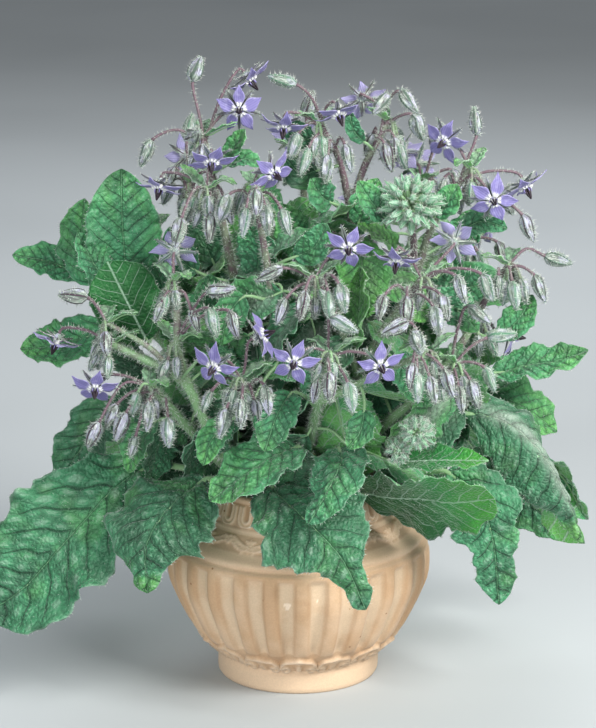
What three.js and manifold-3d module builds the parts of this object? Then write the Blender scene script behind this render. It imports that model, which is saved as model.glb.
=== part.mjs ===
// Borage in flower in a fluted clay pot. Millimetres, +Z up, the front along -Y.
// The origin is the centre of the pot's foot, on the surface that it stands on.
import * as THREE from "three";
import { mergeVertices } from "three/addons/utils/BufferGeometryUtils.js";
import Module from "manifold-3d";

const wasm = await Module();
wasm.setup();

// ---------------------------------------------------------------- driving dimensions
const GAP = 0.35; // clearance between pieces that rest against each other
const FLUTES = 26;
const COLUMNS = 2 * FLUTES; // one for each rib and one for each channel between them
const FLUTE_DEPTH = 1.5;
const LOOP_RELIEF = 0.9; // height of the loops pressed round the collar and of the leaf band on the foot
const POT_FOOT_RADIUS = 41.5;
const POT_BELLY_RADIUS = 67;
const POT_RIM_RADIUS = 46.5;
const POT_HEIGHT = 103;
const WALL = 5;
const FLOOR = 9;
const DRAIN_RADIUS = 6;

const SOIL_TOP = 94;
const SOIL_CROWN = 1.5; // the soil is heaped a little towards the middle
const ROOT_DEPTH = 9; // how deep each stem stands in its hole

const BLADE = 0.8; // thickness of a leaf
const CROWN_STALK = 1.7; // half thickness of the stalk of a leaf that grows from the crown
const STEM_STALK = 1; // and of one that grows from a stem
const COROLLA_RADIUS = 12.6;
const PETAL = 0.8; // thickness of a petal
const SEPAL_RADIUS = 11.5;
const BUD_LENGTH = 13.5;
const BUD_RADIUS = 3.3;
const PEDICEL_RADIUS = 0.8;

const COLOURS = {
  clay: 0xd9b48c,
  soil: 0x2c211a,
  leaf: 0x3f8a52,
  stem: 0x86a877,
  petal: 0x7b74c4,
};
const ROUGHNESS = { clay: 0.8, soil: 0.95, leaf: 0.6, stem: 0.7, petal: 0.55 };

// ---------------------------------------------------------------- solids
const vec = (p) => new THREE.Vector3(...p);
const round = (turn, radius, z) =>
  new THREE.Vector3(radius * Math.cos(turn), radius * Math.sin(turn), z);

// A closed solid from a list of corners and a list of triangles.
function solid(corners, faces) {
  return new wasm.Manifold(
    new wasm.Mesh({
      numProp: 3,
      vertProperties: new Float32Array(corners.flatMap((p) => [p.x, p.y, p.z])),
      triVerts: new Uint32Array(faces.flat()),
    }),
  );
}

// A three.js geometry as a solid.
function solidOf(geometry) {
  geometry.deleteAttribute("normal");
  geometry.deleteAttribute("uv");
  const merged = mergeVertices(geometry, 1e-4);
  return new wasm.Manifold(
    new wasm.Mesh({
      numProp: 3,
      vertProperties: merged.attributes.position.array,
      triVerts: new Uint32Array(merged.index.array),
    }),
  );
}

// The skin between rings with the same number of corners, closed by a cap at both ends. A last ring of
// one corner ends it in a point.
function loft(rings) {
  const n = rings[0].length;
  const faces = [];
  const pointed = rings.at(-1).length === 1;
  const full = rings.length - (pointed ? 1 : 0);
  for (let r = 0; r + 1 < full; r++) {
    for (let k = 0; k < n; k++) {
      const a = r * n + k;
      const b = r * n + ((k + 1) % n);
      faces.push([a, b, b + n], [a, b + n, a + n]);
    }
  }
  const last = (full - 1) * n;
  for (let k = 1; k + 1 < n; k++) {
    faces.push([0, k + 1, k]);
    if (!pointed) faces.push([last, last + k, last + k + 1]);
  }
  for (let k = 0; pointed && k < n; k++) faces.push([last + k, last + ((k + 1) % n), last + n]);
  return solid(rings.flat(), faces);
}

// A smooth line through points, cut into even steps. Without a second facing, the first is carried
// along it without twist; with one, the normal turns from the first facing to the second.
const STEPS = 40;
function line(points, facing, tipFacing) {
  const curve = new THREE.CatmullRomCurve3(points.map(vec));
  const at = curve.getSpacedPoints(STEPS);
  const along = at.map((p, i) =>
    at[Math.min(i + 1, STEPS)].clone().sub(at[Math.max(i - 1, 0)]).normalize(),
  );
  let up = vec(facing);
  const ups = along.map((t, i) => {
    if (tipFacing) up = vec(facing).lerp(vec(tipFacing), i / STEPS);
    up = up.clone().addScaledVector(t, -up.dot(t)).normalize();
    return up;
  });
  return (share) => {
    const f = Math.min(Math.max(share, 0), 1) * STEPS;
    const i = Math.min(Math.floor(f), STEPS - 1);
    const mix = (list) => list[i].clone().lerp(list[i + 1], f - i);
    const t = mix(along).normalize();
    const n = mix(ups).normalize();
    return { at: mix(at), up: n, side: t.cross(n).normalize() };
  };
}

// A round bar along a line. radii holds [share of the length, radius] for each ring; a last radius of 0
// ends it in a point.
function bar(points, radii, sides, facing = [1, 0, 0]) {
  const path = line(points, facing);
  return loft(
    radii.map(([share, radius]) => {
      const { at, up, side } = path(share);
      if (radius === 0) return [at];
      return Array.from({ length: sides }, (_, k) => {
        const turn = (2 * Math.PI * k) / sides;
        return at
          .clone()
          .addScaledVector(up, radius * Math.cos(turn))
          .addScaledVector(side, radius * Math.sin(turn));
      });
    }),
  );
}

const even = (count, from, to) =>
  Array.from({ length: count + 1 }, (_, i) => {
    const share = i / count;
    return [share, from + (to - from) * share];
  });

// ---------------------------------------------------------------- pot
// The outline of the pot's outside, from the foot up to the rim: [radius, height, relief].
const FLUTED = "fluted";
const LOOPS = "loops";
const OUTSIDE = [
  [POT_FOOT_RADIUS - 0.6, 0],
  [POT_FOOT_RADIUS, 11],
  [45.4, 17, LOOPS],
  [50, 21.5, FLUTED, 0.5],
  [58.4, 33, FLUTED, 1],
  [65, 48.5, FLUTED, 1],
  [POT_BELLY_RADIUS, 66, FLUTED, 1],
  [66.5, 70, FLUTED, 0.8],
  [66.7, 71.8],
  [64.2, 73],
  [63.4, 76.5],
  [51.5, 87],
  [49, 93, LOOPS],
  [POT_RIM_RADIUS, 99.5],
  [POT_RIM_RADIUS, POT_HEIGHT],
];
// The inside, from the rim down to the floor. The soil fills it.
const INSIDE = [
  [POT_RIM_RADIUS - WALL, POT_HEIGHT],
  [POT_RIM_RADIUS - WALL, 90],
  [57.5, 70],
  [60, 58],
  [54, 36],
  [44, 22],
  [36, FLOOR],
];

function potRing([radius, z, relief, share = 1], columns) {
  return Array.from({ length: columns }, (_, k) => {
    const turn = (2 * Math.PI * k) / columns;
    const wave = 0.5 - 0.5 * Math.cos(FLUTES * turn);
    let r = radius;
    if (relief === FLUTED) r -= share * FLUTE_DEPTH * wave;
    if (relief === LOOPS) r += LOOP_RELIEF * (1 - wave);
    return round(turn, r, z);
  });
}

// Rings joined one after another and the last to the first. Neighbours have as many corners as each
// other, or one has twice as many.
function turned(rings) {
  const starts = [];
  let total = 0;
  for (const ring of rings) {
    starts.push(total);
    total += ring.length;
  }
  const faces = [];
  rings.forEach((ring, i) => {
    const j = (i + 1) % rings.length;
    const steps = Math.min(ring.length, rings[j].length);
    const a = (k) => starts[i] + (k % ring.length);
    const b = (k) => starts[j] + (k % rings[j].length);
    for (let k = 0; k < steps; k++) {
      if (ring.length === rings[j].length) {
        faces.push([a(k), a(k + 1), b(k + 1)], [a(k), b(k + 1), b(k)]);
      } else if (ring.length > steps) {
        faces.push([b(k), a(2 * k), a(2 * k + 1)], [b(k), a(2 * k + 1), b(k + 1)]);
        faces.push([b(k + 1), a(2 * k + 1), a(2 * k + 2)]);
      } else {
        faces.push([a(k), b(2 * k + 1), b(2 * k)], [a(k), a(k + 1), b(2 * k + 1)]);
        faces.push([a(k + 1), b(2 * k + 2), b(2 * k + 1)]);
      }
    }
  });
  return solid(rings.flat(), faces);
}

function pot() {
  const hole = [
    [DRAIN_RADIUS, FLOOR],
    [DRAIN_RADIUS, 0],
  ];
  const rim = INSIDE.slice(0, 2);
  const hidden = [...INSIDE.slice(2), ...hole];
  return turned([
    ...[...OUTSIDE, ...rim].map((row) => potRing(row, COLUMNS)),
    ...hidden.map((row) => potRing(row, FLUTES)),
  ]);
}

// The soil fills the pot up to below its rim, with a plain hole for each stem and stalk.
function soil(holes) {
  const wall = INSIDE.slice(1, -1).reverse();
  const profile = [
    [0, FLOOR + GAP],
    [INSIDE.at(-1)[0] - 2 * GAP, FLOOR + GAP],
    ...wall.map(([radius, z]) => [radius - 2 * GAP, z]),
    [INSIDE[0][0] - 2 * GAP, SOIL_TOP],
    [0.5 * POT_RIM_RADIUS, SOIL_TOP + SOIL_CROWN],
    [0, SOIL_TOP + SOIL_CROWN],
  ];
  const points = profile.map(([radius, z]) => new THREE.Vector2(radius, z));
  const body = solidOf(new THREE.LatheGeometry(points, FLUTES / 2).rotateX(Math.PI / 2));
  const floor = SOIL_TOP - ROOT_DEPTH - GAP;
  const cuts = holes.map(([root, radius, sides]) => {
    const wide = radius + 1.6 * GAP;
    return bar([[...root, floor], [...root, SOIL_TOP + 2 * ROOT_DEPTH]], [[0, wide], [1, wide]], sides);
  });
  return body.subtract(wasm.Manifold.union(cuts));
}

// ---------------------------------------------------------------- leaves
// Half width along a blade, as a share of the widest, from the base to the pointed tip.
const OVATE = 0.55;
const TAPER = 0.8;
const WIDEST = OVATE / (OVATE + TAPER);
const PEAK = WIDEST ** OVATE * (1 - WIDEST) ** TAPER;
const outline = (u) => (u ** OVATE * (1 - u) ** TAPER) / PEAK;

// A leaf: its first `bare` share is stalk and the rest a blade with a waved edge on both sides of its rib.
// rib: the points of the midrib; half: half width; facing and tipFacing: where its upper side looks;
// cup: how far the sides rise (or fall) from the rib, as a share of the half width;
// wave and waves: height, as a share of the half width, and number of the edge waves.
const LEAF = { cup: 0.15, wave: 0.14, waves: 3, foot: 0, cuts: 8 };
function leaf(spec) {
  const { rib, half, facing, tipFacing = facing, cup, wave, waves, bare, foot, cuts } = { ...LEAF, ...spec };
  const stem = foot > 0 ? CROWN_STALK : STEM_STALK;
  const path = line(rib, facing, tipFacing);
  const shares = foot > 0 ? [0] : [];
  const stalkCuts = Math.max(1, Math.round((bare - foot) * 4));
  for (let i = 0; i < stalkCuts; i++) shares.push(foot + ((bare - foot) * i) / stalkCuts);
  for (let i = 0; i <= cuts; i++) shares.push(bare + ((1 - bare) * i) / cuts);
  const top = [];
  const under = [];
  for (const share of shares) {
    const u = Math.max(0, (share - bare) / (1 - bare));
    const blade = half * outline(u);
    const stalk = Math.max(0, 1 - 5 * u);
    const reach = Math.max(blade, 0.5 + (stem - 0.5) * stalk);
    const thick = BLADE + (2 * stem - BLADE) * stalk;
    const { at, up, side } = path(share);
    for (const v of [-1, 0, 1]) {
      const ripple = wave * blade * Math.sin(2 * Math.PI * (waves * u + 0.2 * v + 0.1));
      const p = at.clone().addScaledVector(side, v * reach);
      p.addScaledVector(up, v * v * (cup * blade + ripple));
      top.push(p.clone().addScaledVector(up, thick / 2));
      under.push(p.addScaledVector(up, -thick / 2));
    }
  }
  const n = top.length;
  const faces = [];
  const quad = (a, b, c, d) => faces.push([a, b, c], [a, c, d]);
  for (let r = 0; r + 1 < shares.length; r++) {
    for (const s of [3 * r, 3 * r + 1]) {
      quad(s, s + 1, s + 4, s + 3);
      faces.push([n + s, n + s + 4, n + s + 1], [n + s, n + s + 3, n + s + 4]);
    }
    quad(3 * r, 3 * r + 3, n + 3 * r + 3, n + 3 * r);
    quad(3 * r + 2, n + 3 * r + 2, n + 3 * r + 5, 3 * r + 5);
  }
  const end = n - 3;
  for (const s of [0, 1]) {
    quad(s, n + s, n + s + 1, s + 1);
    quad(end + s, end + s + 1, n + end + s + 1, n + end + s);
  }
  return solid([...top, ...under], faces);
}

const lengthOf = (points) => new THREE.CatmullRomCurve3(points.map(vec)).getLength();

// The straight start of a stem or stalk, in its hole in the soil and a little above it.
const footOf = (root, rise) => [-ROOT_DEPTH, 0, rise].map((up) => [...root, SOIL_TOP + up]);

// A leaf whose stalk starts from the points `stalk`, in the soil or in the stem that carries it.
function stalked({ stalk, rib, foot = [], ...rest }) {
  const whole = [...foot, ...stalk, ...rib];
  const length = lengthOf(whole);
  const straight = foot.length > 0 ? lengthOf(foot) / length : 0;
  return leaf({ ...rest, rib: whole, foot: straight, bare: 1 - lengthOf(rib) / length });
}

// A leaf that grows from the crown: root is where its stalk stands in the soil.
const rooted = ({ root, stalk = [], ...rest }) => stalked({ ...rest, stalk, foot: footOf(root, 9) });

// ---------------------------------------------------------------- flowers and buds
// A frame at a point that looks along facing.
function seat(at, facing, roll = 0) {
  const z = vec(facing).normalize();
  const away = Math.abs(z.z) > 0.9 ? new THREE.Vector3(0, 1, 0) : new THREE.Vector3(0, 0, 1);
  const x = away.cross(z).normalize();
  const m = new THREE.Matrix4().makeBasis(x, z.clone().cross(x), z).setPosition(vec(at));
  return m.multiply(new THREE.Matrix4().makeRotationZ(THREE.MathUtils.degToRad(roll)));
}

const FIFTH = (2 * Math.PI) / 5;

// A five-pointed star in one body. Its points grow from a throat that narrows to a point in front (nose)
// and one behind (tail), or runs on into a stalk, given as rings of five corners. With a notch, each
// point first widens to there. Heights are along its axis.
function star({ tip, tipZ, notch, notchZ, throat, throatZ, nose, tail, thick }, place, stalk = []) {
  const corners = [new THREE.Vector3(0, 0, nose), new THREE.Vector3(0, 0, tail ?? throatZ - thick)];
  for (const drop of [0, thick]) {
    for (let k = 0; k < 5; k++) corners.push(round(k * FIFTH, throat, throatZ - drop));
    for (let k = 0; k < 5; k++) corners.push(round((k + 0.5) * FIFTH, tip, tipZ - drop));
    for (let k = 0; notch && k < 5; k++) corners.push(round(k * FIFTH, notch, notchZ - drop));
  }
  const layer = notch ? 15 : 10;
  const faces = [];
  for (let k = 0; k < 5; k++) {
    const [ring, out, next] = [2 + k, 7 + k, 2 + ((k + 1) % 5)];
    const top = [[ring, out, next]];
    const [low, nextLow] = notch ? [ring + 10, next + 10] : [ring, next];
    if (notch) top.push([ring, low, out], [next, out, nextLow]);
    faces.push([0, ring, next], ...top, ...top.map(([a, b, c]) => [c + layer, b + layer, a + layer]));
    faces.push([low, low + layer, out + layer], [low, out + layer, out]);
    faces.push([out, out + layer, nextLow + layer], [out, nextLow + layer, nextLow]);
    if (stalk.length === 0) faces.push([next + layer, ring + layer, 1]);
    stalk.forEach((_, i) => {
      const below = 2 + 2 * layer + 5 * i;
      const above = i === 0 ? 2 + layer : below - 5;
      const [a, b] = [k, (k + 1) % 5];
      faces.push([above + b, above + a, below + a], [above + b, below + a, below + b]);
    });
  }
  const placed = corners.map((p) => p.applyMatrix4(place));
  if (stalk.length === 0) return solid(placed, faces);
  placed[1] = stalk.at(-1)[0].clone().lerp(stalk.at(-1)[2], 0.5);
  const last = 2 + 2 * layer + 5 * (stalk.length - 1);
  for (let k = 0; k < 5; k++) faces.push([last + ((k + 1) % 5), last + k, 1]);
  return solid([...placed, ...stalk.flat()], faces);
}

// Five pointed petals in one star, with the cone of anthers in front and the tube behind.
const TUBE_END = -1.6;
const COROLLA = {
  tip: COROLLA_RADIUS, tipZ: -1.3, notch: 0.36 * COROLLA_RADIUS, notchZ: 0.3,
  throat: 2.2, throatZ: 1.2, nose: 7, tail: TUBE_END, thick: PETAL,
};
const corolla = ({ at, facing, roll = 0 }) => star(COROLLA, seat(at, facing, roll + 36));

// The open calyx behind a flower, five narrow sepals that show between the petals, and its stalk, which
// comes out of the shoot at hub, rises in an arch and goes in behind the sepals.
const CALYX_TOP = TUBE_END - GAP;
const CALYX = {
  tip: SEPAL_RADIUS, tipZ: CALYX_TOP - 1.2, throat: 2.4, throatZ: CALYX_TOP, nose: CALYX_TOP, thick: 1,
};
const BUDDING = 0.5; // radius that the stalk of a bud or flower starts with, inside its shoot
function calyx(hub, { at, facing, roll = 0, arch = 3 }) {
  const place = seat(at, facing, roll);
  const look = vec(facing).normalize();
  const behind = (distance) => vec(at).addScaledVector(look, -distance);
  const neck = behind(7);
  const crest = vec(hub).lerp(neck, 0.5).add(new THREE.Vector3(0, 0, arch));
  const across = new THREE.Vector3().setFromMatrixColumn(place, 0).toArray();
  const points = [behind(2.9 + GAP), neck, crest].map((p) => p.toArray());
  const path = line([...points, hub], across);
  const rings = [[4 / lengthOf([...points, hub]), PEDICEL_RADIUS], [0.6, PEDICEL_RADIUS], [1, BUDDING]];
  const stalk = rings.map(([share, radius]) => {
    const p = path(share);
    return Array.from({ length: 5 }, (_, k) =>
      p.at
        .clone()
        .addScaledVector(p.up, radius * Math.cos(k * FIFTH))
        .addScaledVector(p.side, -radius * Math.sin(k * FIFTH)),
    );
  });
  return star(CALYX, place, stalk);
}

// A bud and its stalk in one body. at is the middle of the bud; it hangs, leaning away from its hub,
// unless look gives its direction; arch is how high its stalk rises above the straight way.
const BUD_FORM = [[0.1, 0.7], [0.48, 1], [1, 0]];
const LEAN = 0.35;
function bud(hub, [at, look, arch = 5]) {
  const middle = vec(at);
  const out = middle.clone().sub(vec(hub)).setZ(0).normalize().multiplyScalar(LEAN);
  const way = (look ? vec(look) : out.setZ(-1)).normalize();
  const neck = middle.clone().addScaledVector(way, -BUD_LENGTH / 2);
  const tip = middle.clone().addScaledVector(way, BUD_LENGTH / 2);
  const crest = vec(hub).lerp(neck, 0.5).add(new THREE.Vector3(0, 0, arch));
  const points = [hub, crest.toArray(), neck.toArray(), at, tip.toArray()];
  const stalk = 1 - BUD_LENGTH / lengthOf(points);
  const radii = [[0, BUDDING], [0.55 * stalk, PEDICEL_RADIUS]];
  for (const [share, form] of BUD_FORM) radii.push([stalk + (1 - stalk) * share, BUD_RADIUS * form]);
  return bar(points, radii, 4);
}

// ---------------------------------------------------------------- the plant
// Leaves that grow from the crown, each standing in the soil on its own stalk.
const UPWARD = [0, 0, 1];
const CROWN_LEAVES = {
  leaf_left_wide: {
    root: [-32, -12],
    stalk: [[-50, -22, 113]],
    rib: [
      [-74, -32, 119], [-93, -43, 110], [-106, -50, 97],
      [-121, -55, 81], [-138, -56, 62], [-158, -53, 47],
    ],
    half: 27, facing: [0.3, -0.5, 1], tipFacing: [-0.1, -1, 0.35], cup: 0.1, waves: 4,
  },
  leaf_left_front: {
    root: [-26, -24],
    stalk: [[-36, -37, 111]],
    rib: [[-46, -48, 117], [-58, -62, 113], [-69, -72, 103], [-75, -78, 91], [-74, -83, 69]],
    half: 23, facing: [-0.2, -0.4, 1], tipFacing: [-0.4, -1, 0.2], cup: -0.2,
  },
  leaf_front: {
    root: [-10, -33],
    rib: [[-13, -48, 113], [-5, -68, 111], [10, -87, 102], [22, -96, 90], [33, -99, 66]],
    half: 24, facing: [0, -0.5, 1], tipFacing: [0, -1, 0.3], cup: -0.1,
  },
  leaf_right_flat: {
    root: [18, -29],
    rib: [[30, -43, 108], [46, -58, 110], [60, -69, 113], [76, -78, 114], [96, -84, 118]],
    half: 22, facing: [0, -0.9, 0.7], cup: 0.1, waves: 2.5,
  },
  leaf_right_hanging: {
    root: [31, -16],
    stalk: [[52, -28, 112]],
    rib: [[74, -42, 119], [89, -51, 110], [97, -56, 89], [101, -54, 53]],
    half: 14, facing: [0, -0.4, 1], tipFacing: [0, -1, 0.2], cup: -0.1, cuts: 7,
  },
  leaf_right_folded: {
    root: [32, -6],
    stalk: [[52, -10, 124]],
    rib: [[84, -16, 142], [104, -22, 140], [121, -27, 127], [135, -28, 104], [146, -26, 76]],
    half: 21, facing: [0.1, -0.5, 1], tipFacing: [0.4, -1, 0.4], cup: -0.35,
  },
  leaf_right_low: {
    root: [32, 5],
    stalk: [[50, 5, 113]],
    rib: [[78, 5, 111], [96, 3, 106], [111, 1, 96], [124, 0, 85], [138, -1, 72]],
    half: 17, facing: [0.1, -0.6, 1], cuts: 7,
  },
  leaf_left_low: {
    root: [-35, 1],
    stalk: [[-54, 4, 121]],
    rib: [[-84, 7, 137], [-100, 7, 133], [-112, 5, 118], [-125, 4, 95]],
    half: 14, facing: [-0.1, -0.6, 1], tipFacing: [-0.3, -1, 0.4], cuts: 7,
  },
  leaf_centre_light: {
    root: [-3, -27],
    stalk: [[0, -42, 122]],
    rib: [[0, -60, 137], [-12, -76, 138], [-27, -85, 130], [-43, -88, 118]],
    half: 15, facing: [0, -0.4, 1], tipFacing: [0, -0.8, 1], wave: 0.2, cuts: 7,
  },
  leaf_centre_dark: {
    root: [7, -30],
    stalk: [[15, -44, 120]],
    rib: [[20, -60, 136], [21, -80, 136], [15, -94, 127], [5, -101, 110]],
    half: 14, facing: [0.2, -0.4, 1], tipFacing: [-0.2, -1, 0.5], wave: 0.15, cuts: 7,
  },
  leaf_rear_left: {
    root: [-21, 27],
    rib: [[-42, 50, 116], [-62, 70, 114], [-82, 90, 102], [-96, 104, 80], [-104, 114, 54]],
    half: 25, facing: UPWARD, tipFacing: [-0.4, 0.8, 0.6], cuts: 6,
  },
  leaf_rear_middle: {
    root: [4, 35],
    rib: [[6, 54, 112], [8, 76, 115], [9, 96, 104], [10, 110, 82], [8, 117, 54]],
    half: 25, facing: UPWARD, tipFacing: [0, 0.9, 0.5], cuts: 6,
  },
  leaf_rear_right: {
    root: [25, 25],
    rib: [[48, 48, 116], [69, 69, 116], [88, 88, 104], [101, 101, 84], [108, 111, 58]],
    half: 24, facing: UPWARD, tipFacing: [0.5, 0.7, 0.5], cuts: 6,
  },
  leaf_right_side: {
    root: [32, 16],
    stalk: [[54, 27, 112]],
    rib: [[80, 38, 121], [102, 46, 118], [126, 52, 105], [144, 56, 86], [156, 58, 62]],
    half: 18, facing: UPWARD, tipFacing: [0.8, 0.2, 0.6], cuts: 6,
  },
};

// Flowering stems. shoots: [radius at the start, radius at the end, points], the first from the soil.
// sprays: a hub with its buds (see bud) and its blooms. leaves: see stalked.
const STEMS = {
  stem_left: {
    root: [-18, -12],
    shoots: [
      [4.2, 3, [[-29, -26, 114], [-41, -39, 131], [-48, -47, 150], [-57, -53, 169], [-93, -50, 188]]],
      [2.4, 1.6, [[-53, -51, 163], [-59, -55, 185], [-59, -58, 201], [-61, -55, 221]]],
      [1.6, 1.1, [[-62, -54, 174], [-72, -56, 186], [-95, -52, 199]]],
    ],
    sprays: [
      {
        hub: [-93, -50, 188],
        blooms: [{ at: [-120, -38, 185], facing: [-0.35, -0.1, -0.9], roll: 20 }],
      },
      { hub: [-61, -55, 221], blooms: [{ at: [-60, -46, 234], facing: [0.1, 0.8, 0.2], arch: -1 }] },
      { hub: [-95, -52, 199], buds: [[[-111, -45, 210], [-1, 0, 0.1], 2]] },
      {
        hub: [-60, -55, 190],
        buds: [[[-37, -70, 219], [1, -0.2, 0.2], 2], [[-41, -76, 204]], [[-31, -76, 203]]],
      },
    ],
    leaves: [
      {
        stalk: [[-58, -54, 170], [-52, -60, 178]],
        rib: [[-48, -66, 184], [-40, -74, 189], [-30, -80, 186]],
        half: 6, facing: UPWARD,
      },
    ],
  },
  stem_left_low: {
    root: [-25, -2],
    shoots: [[3, 2, [[-42, -22, 121], [-58, -42, 146], [-73, -60, 169]]]],
    sprays: [
      {
        hub: [-73, -60, 169],
        blooms: [{ at: [-100, -55, 166], facing: [0, -0.75, -0.6], roll: 10 }],
        buds: [[[-101, -60, 143], null, 12], [[-87, -66, 149]], [[-73, -76, 157]], [[-63, -80, 150]]],
      },
    ],
    leaves: [
      {
        stalk: [[-58, -42, 146], [-64, -45, 148]],
        rib: [[-70, -47, 147], [-80, -52, 137], [-84, -54, 122]],
        half: 8, facing: [0, -0.6, 1],
      },
      {
        stalk: [[-50, -32, 134], [-58, -34, 140]],
        rib: [[-68, -34, 143], [-80, -34, 138], [-88, -34, 127]],
        half: 8, facing: [0, -0.6, 1],
      },
    ],
  },
  stem_centre_low: {
    root: [-9, -18],
    shoots: [[2.8, 1.8, [[-15, -42, 127], [-22, -68, 158], [-28, -88, 180]]]],
    sprays: [
      {
        hub: [-28, -88, 180],
        blooms: [
          { at: [-40, -98, 188], facing: [-0.4, -0.8, -0.4] },
          { at: [-17, -88, 201], facing: [0.7, -0.1, 0.3], arch: 0 },
        ],
        buds: [[[-36, -99, 160], null, 2], [[-27, -103, 166]], [[-15, -100, 172]]],
      },
    ],
    leaves: [],
  },
  stem_front: {
    root: [2, -17],
    shoots: [
      [3, 1.8, [[5, -40, 130], [10, -68, 163], [15, -95, 195]]],
      [2, 1.4, [[10, -66, 161], [35, -80, 178], [63, -90, 194]]],
    ],
    sprays: [
      {
        hub: [15, -95, 195],
        blooms: [
          { at: [-2, -108, 193], facing: [-0.1, -0.95, -0.25] },
          { at: [39, -107, 191], facing: [0.25, -0.9, -0.3], roll: 25 },
        ],
        buds: [[[22, -100, 209], [0.9, -0.2, -0.4], 3], [[15, -110, 181]], [[25, -110, 176]]],
      },
      {
        hub: [63, -90, 194],
        buds: [
          [[46, -98, 207], [-0.9, -0.2, -0.4], 2],
          [[57, -103, 201], [0.2, -0.8, -0.5], 3],
          [[57, -103, 179]],
          [[72, -98, 180]],
        ],
      },
    ],
    leaves: [
      {
        stalk: [[9, -64, 158], [3, -70, 166]],
        rib: [[-3, -78, 170], [-10, -92, 163], [-16, -98, 146]],
        half: 10, facing: [-0.2, -0.5, 1], tipFacing: [0, -1, 0.4],
      },
      {
        stalk: [[30, -77, 174], [32, -80, 168]],
        rib: [[32, -84, 163], [30, -90, 154], [24, -93, 146]],
        half: 7, facing: [0, -1, 0.3],
      },
    ],
  },
  stem_right: {
    root: [20, -13],
    shoots: [
      [3.4, 1.6, [[36, -31, 132], [57, -50, 158], [77, -66, 182]]],
      [2.4, 1.4, [[57, -50, 158], [80, -46, 185], [95, -41, 212], [104, -42, 226]]],
    ],
    sprays: [
      {
        hub: [77, -66, 182],
        buds: [
          [[100, -60, 194], [1, 0, 0.15], 2],
          [[88, -67, 206], [0.8, 0, -0.6], 6],
          [[86, -75, 168]],
        ],
      },
      { hub: [88, -43, 199], blooms: [{ at: [107, -30, 186], facing: [0.95, -0.2, -0.1] }] },
      {
        hub: [104, -42, 226],
        buds: [[[129, -34, 226], [1, 0.1, -0.3], 6], [[106, -53, 212]], [[119, -46, 214]]],
      },
    ],
    leaves: [
      {
        stalk: [[40, -35, 137], [46, -50, 134]],
        rib: [[50, -60, 131], [69, -75, 135], [93, -80, 136]],
        half: 10, facing: [0, -0.8, 0.7],
      },
    ],
  },
  stem_middle_right: {
    root: [12, -7],
    shoots: [
      [3, 1.6, [[22, -28, 142], [38, -52, 188], [60, -72, 226]]],
      [2, 1.4, [[30, -42, 168], [18, -62, 205], [8, -77, 228]]],
    ],
    sprays: [
      {
        hub: [60, -72, 226],
        blooms: [
          { at: [47, -80, 236], facing: [-0.1, -0.5, -0.85], roll: 12 },
          { at: [76, -54, 240], facing: [0.1, 0.95, 0.1], arch: 0 },
        ],
        buds: [[[78, -82, 222]], [[91, -78, 222], null, 7], [[52, -90, 213]], [[66, -93, 209]]],
      },
      {
        hub: [8, -77, 228],
        blooms: [{ at: [24, -84, 243], facing: [0, -0.95, -0.3] }],
        buds: [[[2, -91, 216]], [[15, -92, 216]], [[-14, -80, 229], [-1, 0, -0.5], 3]],
      },
    ],
    leaves: [
      {
        stalk: [[38, -52, 188], [42, -58, 186]],
        rib: [[46, -64, 184], [56, -72, 176], [62, -76, 162]],
        half: 10, facing: [0, -0.8, 0.7],
      },
      {
        stalk: [[26, -35, 155], [20, -44, 160]],
        rib: [[12, -47, 168], [-2, -51, 174], [-18, -53, 172]],
        half: 10, facing: [0, -0.8, 0.7],
      },
    ],
  },
  stem_top_right: {
    root: [24, 1],
    shoots: [
      [3.2, 1.6, [[38, -6, 145], [55, -18, 200], [68, -27, 245], [85, -32, 272]]],
      [2, 1.6, [[58, -20, 212], [57, -34, 236], [55, -42, 250]]],
    ],
    sprays: [
      {
        hub: [85, -32, 272],
        blooms: [
          { at: [72, -27, 284], facing: [-0.5, -0.75, -0.3], arch: 1 },
          { at: [95, -48, 259], facing: [0.1, -0.95, -0.15] },
          { at: [112, -30, 262], facing: [0.4, -0.4, -0.8] },
        ],
        buds: [
          [[87, -25, 294], [-0.1, 0, 1], 0],
          [[113, -40, 243]],
          [[78, -34, 256]],
          [[104, -20, 252]],
        ],
      },
    ],
    head: { at: [55, -46, 256], look: [0, -0.6, 0.8] },
    leaves: [
      {
        stalk: [[56, -38, 244], [48, -42, 246]],
        rib: [[44, -44, 248], [36, -46, 258], [29, -46, 268]],
        half: 7, facing: [0, -1, 0.2],
      },
      {
        stalk: [[57, -36, 240], [64, -42, 246]],
        rib: [[67, -44, 250], [73, -46, 258], [78, -44, 266]],
        half: 7, facing: [-0.3, -1, 0.2],
      },
      {
        stalk: [[42, -8, 155], [70, -6, 163]],
        rib: [[98, -4, 160], [116, -2, 164], [132, -1, 166], [148, 0, 171]],
        half: 10, facing: [0, -0.8, 1], wave: 0.22,
      },
      {
        stalk: [[50, -14, 185], [64, -14, 196]],
        rib: [[74, -14, 204], [92, -14, 208], [106, -14, 200]],
        half: 12, facing: [0, -0.8, 0.8],
      },
    ],
  },
  stem_top_middle: {
    root: [10, 8],
    shoots: [
      [3.2, 1.6, [[17, 5, 150], [24, 2, 220], [32, 2, 262], [46, 2, 290]]],
      [2, 1.4, [[27, 2, 240], [20, -4, 272], [10, -10, 291]]],
    ],
    sprays: [
      {
        hub: [46, 2, 290],
        blooms: [
          { at: [33, 8, 298], facing: [0.3, 0.6, -0.6] },
          { at: [52, 14, 270], facing: [0.2, 0.6, -0.75] },
        ],
        buds: [
          [[41, -8, 299], [-0.5, -0.6, -0.5], 7],
          [[55, -6, 300], [0.6, -0.4, -0.7], 8],
          [[60, 0, 286]],
          [[45, -8, 272]],
        ],
      },
      {
        hub: [10, -10, 291],
        blooms: [
          { at: [20, -18, 296], facing: [0.3, -0.5, -0.8], roll: 8 },
          { at: [-7, -25, 291], facing: [-0.1, -0.5, -0.85] },
        ],
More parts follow.
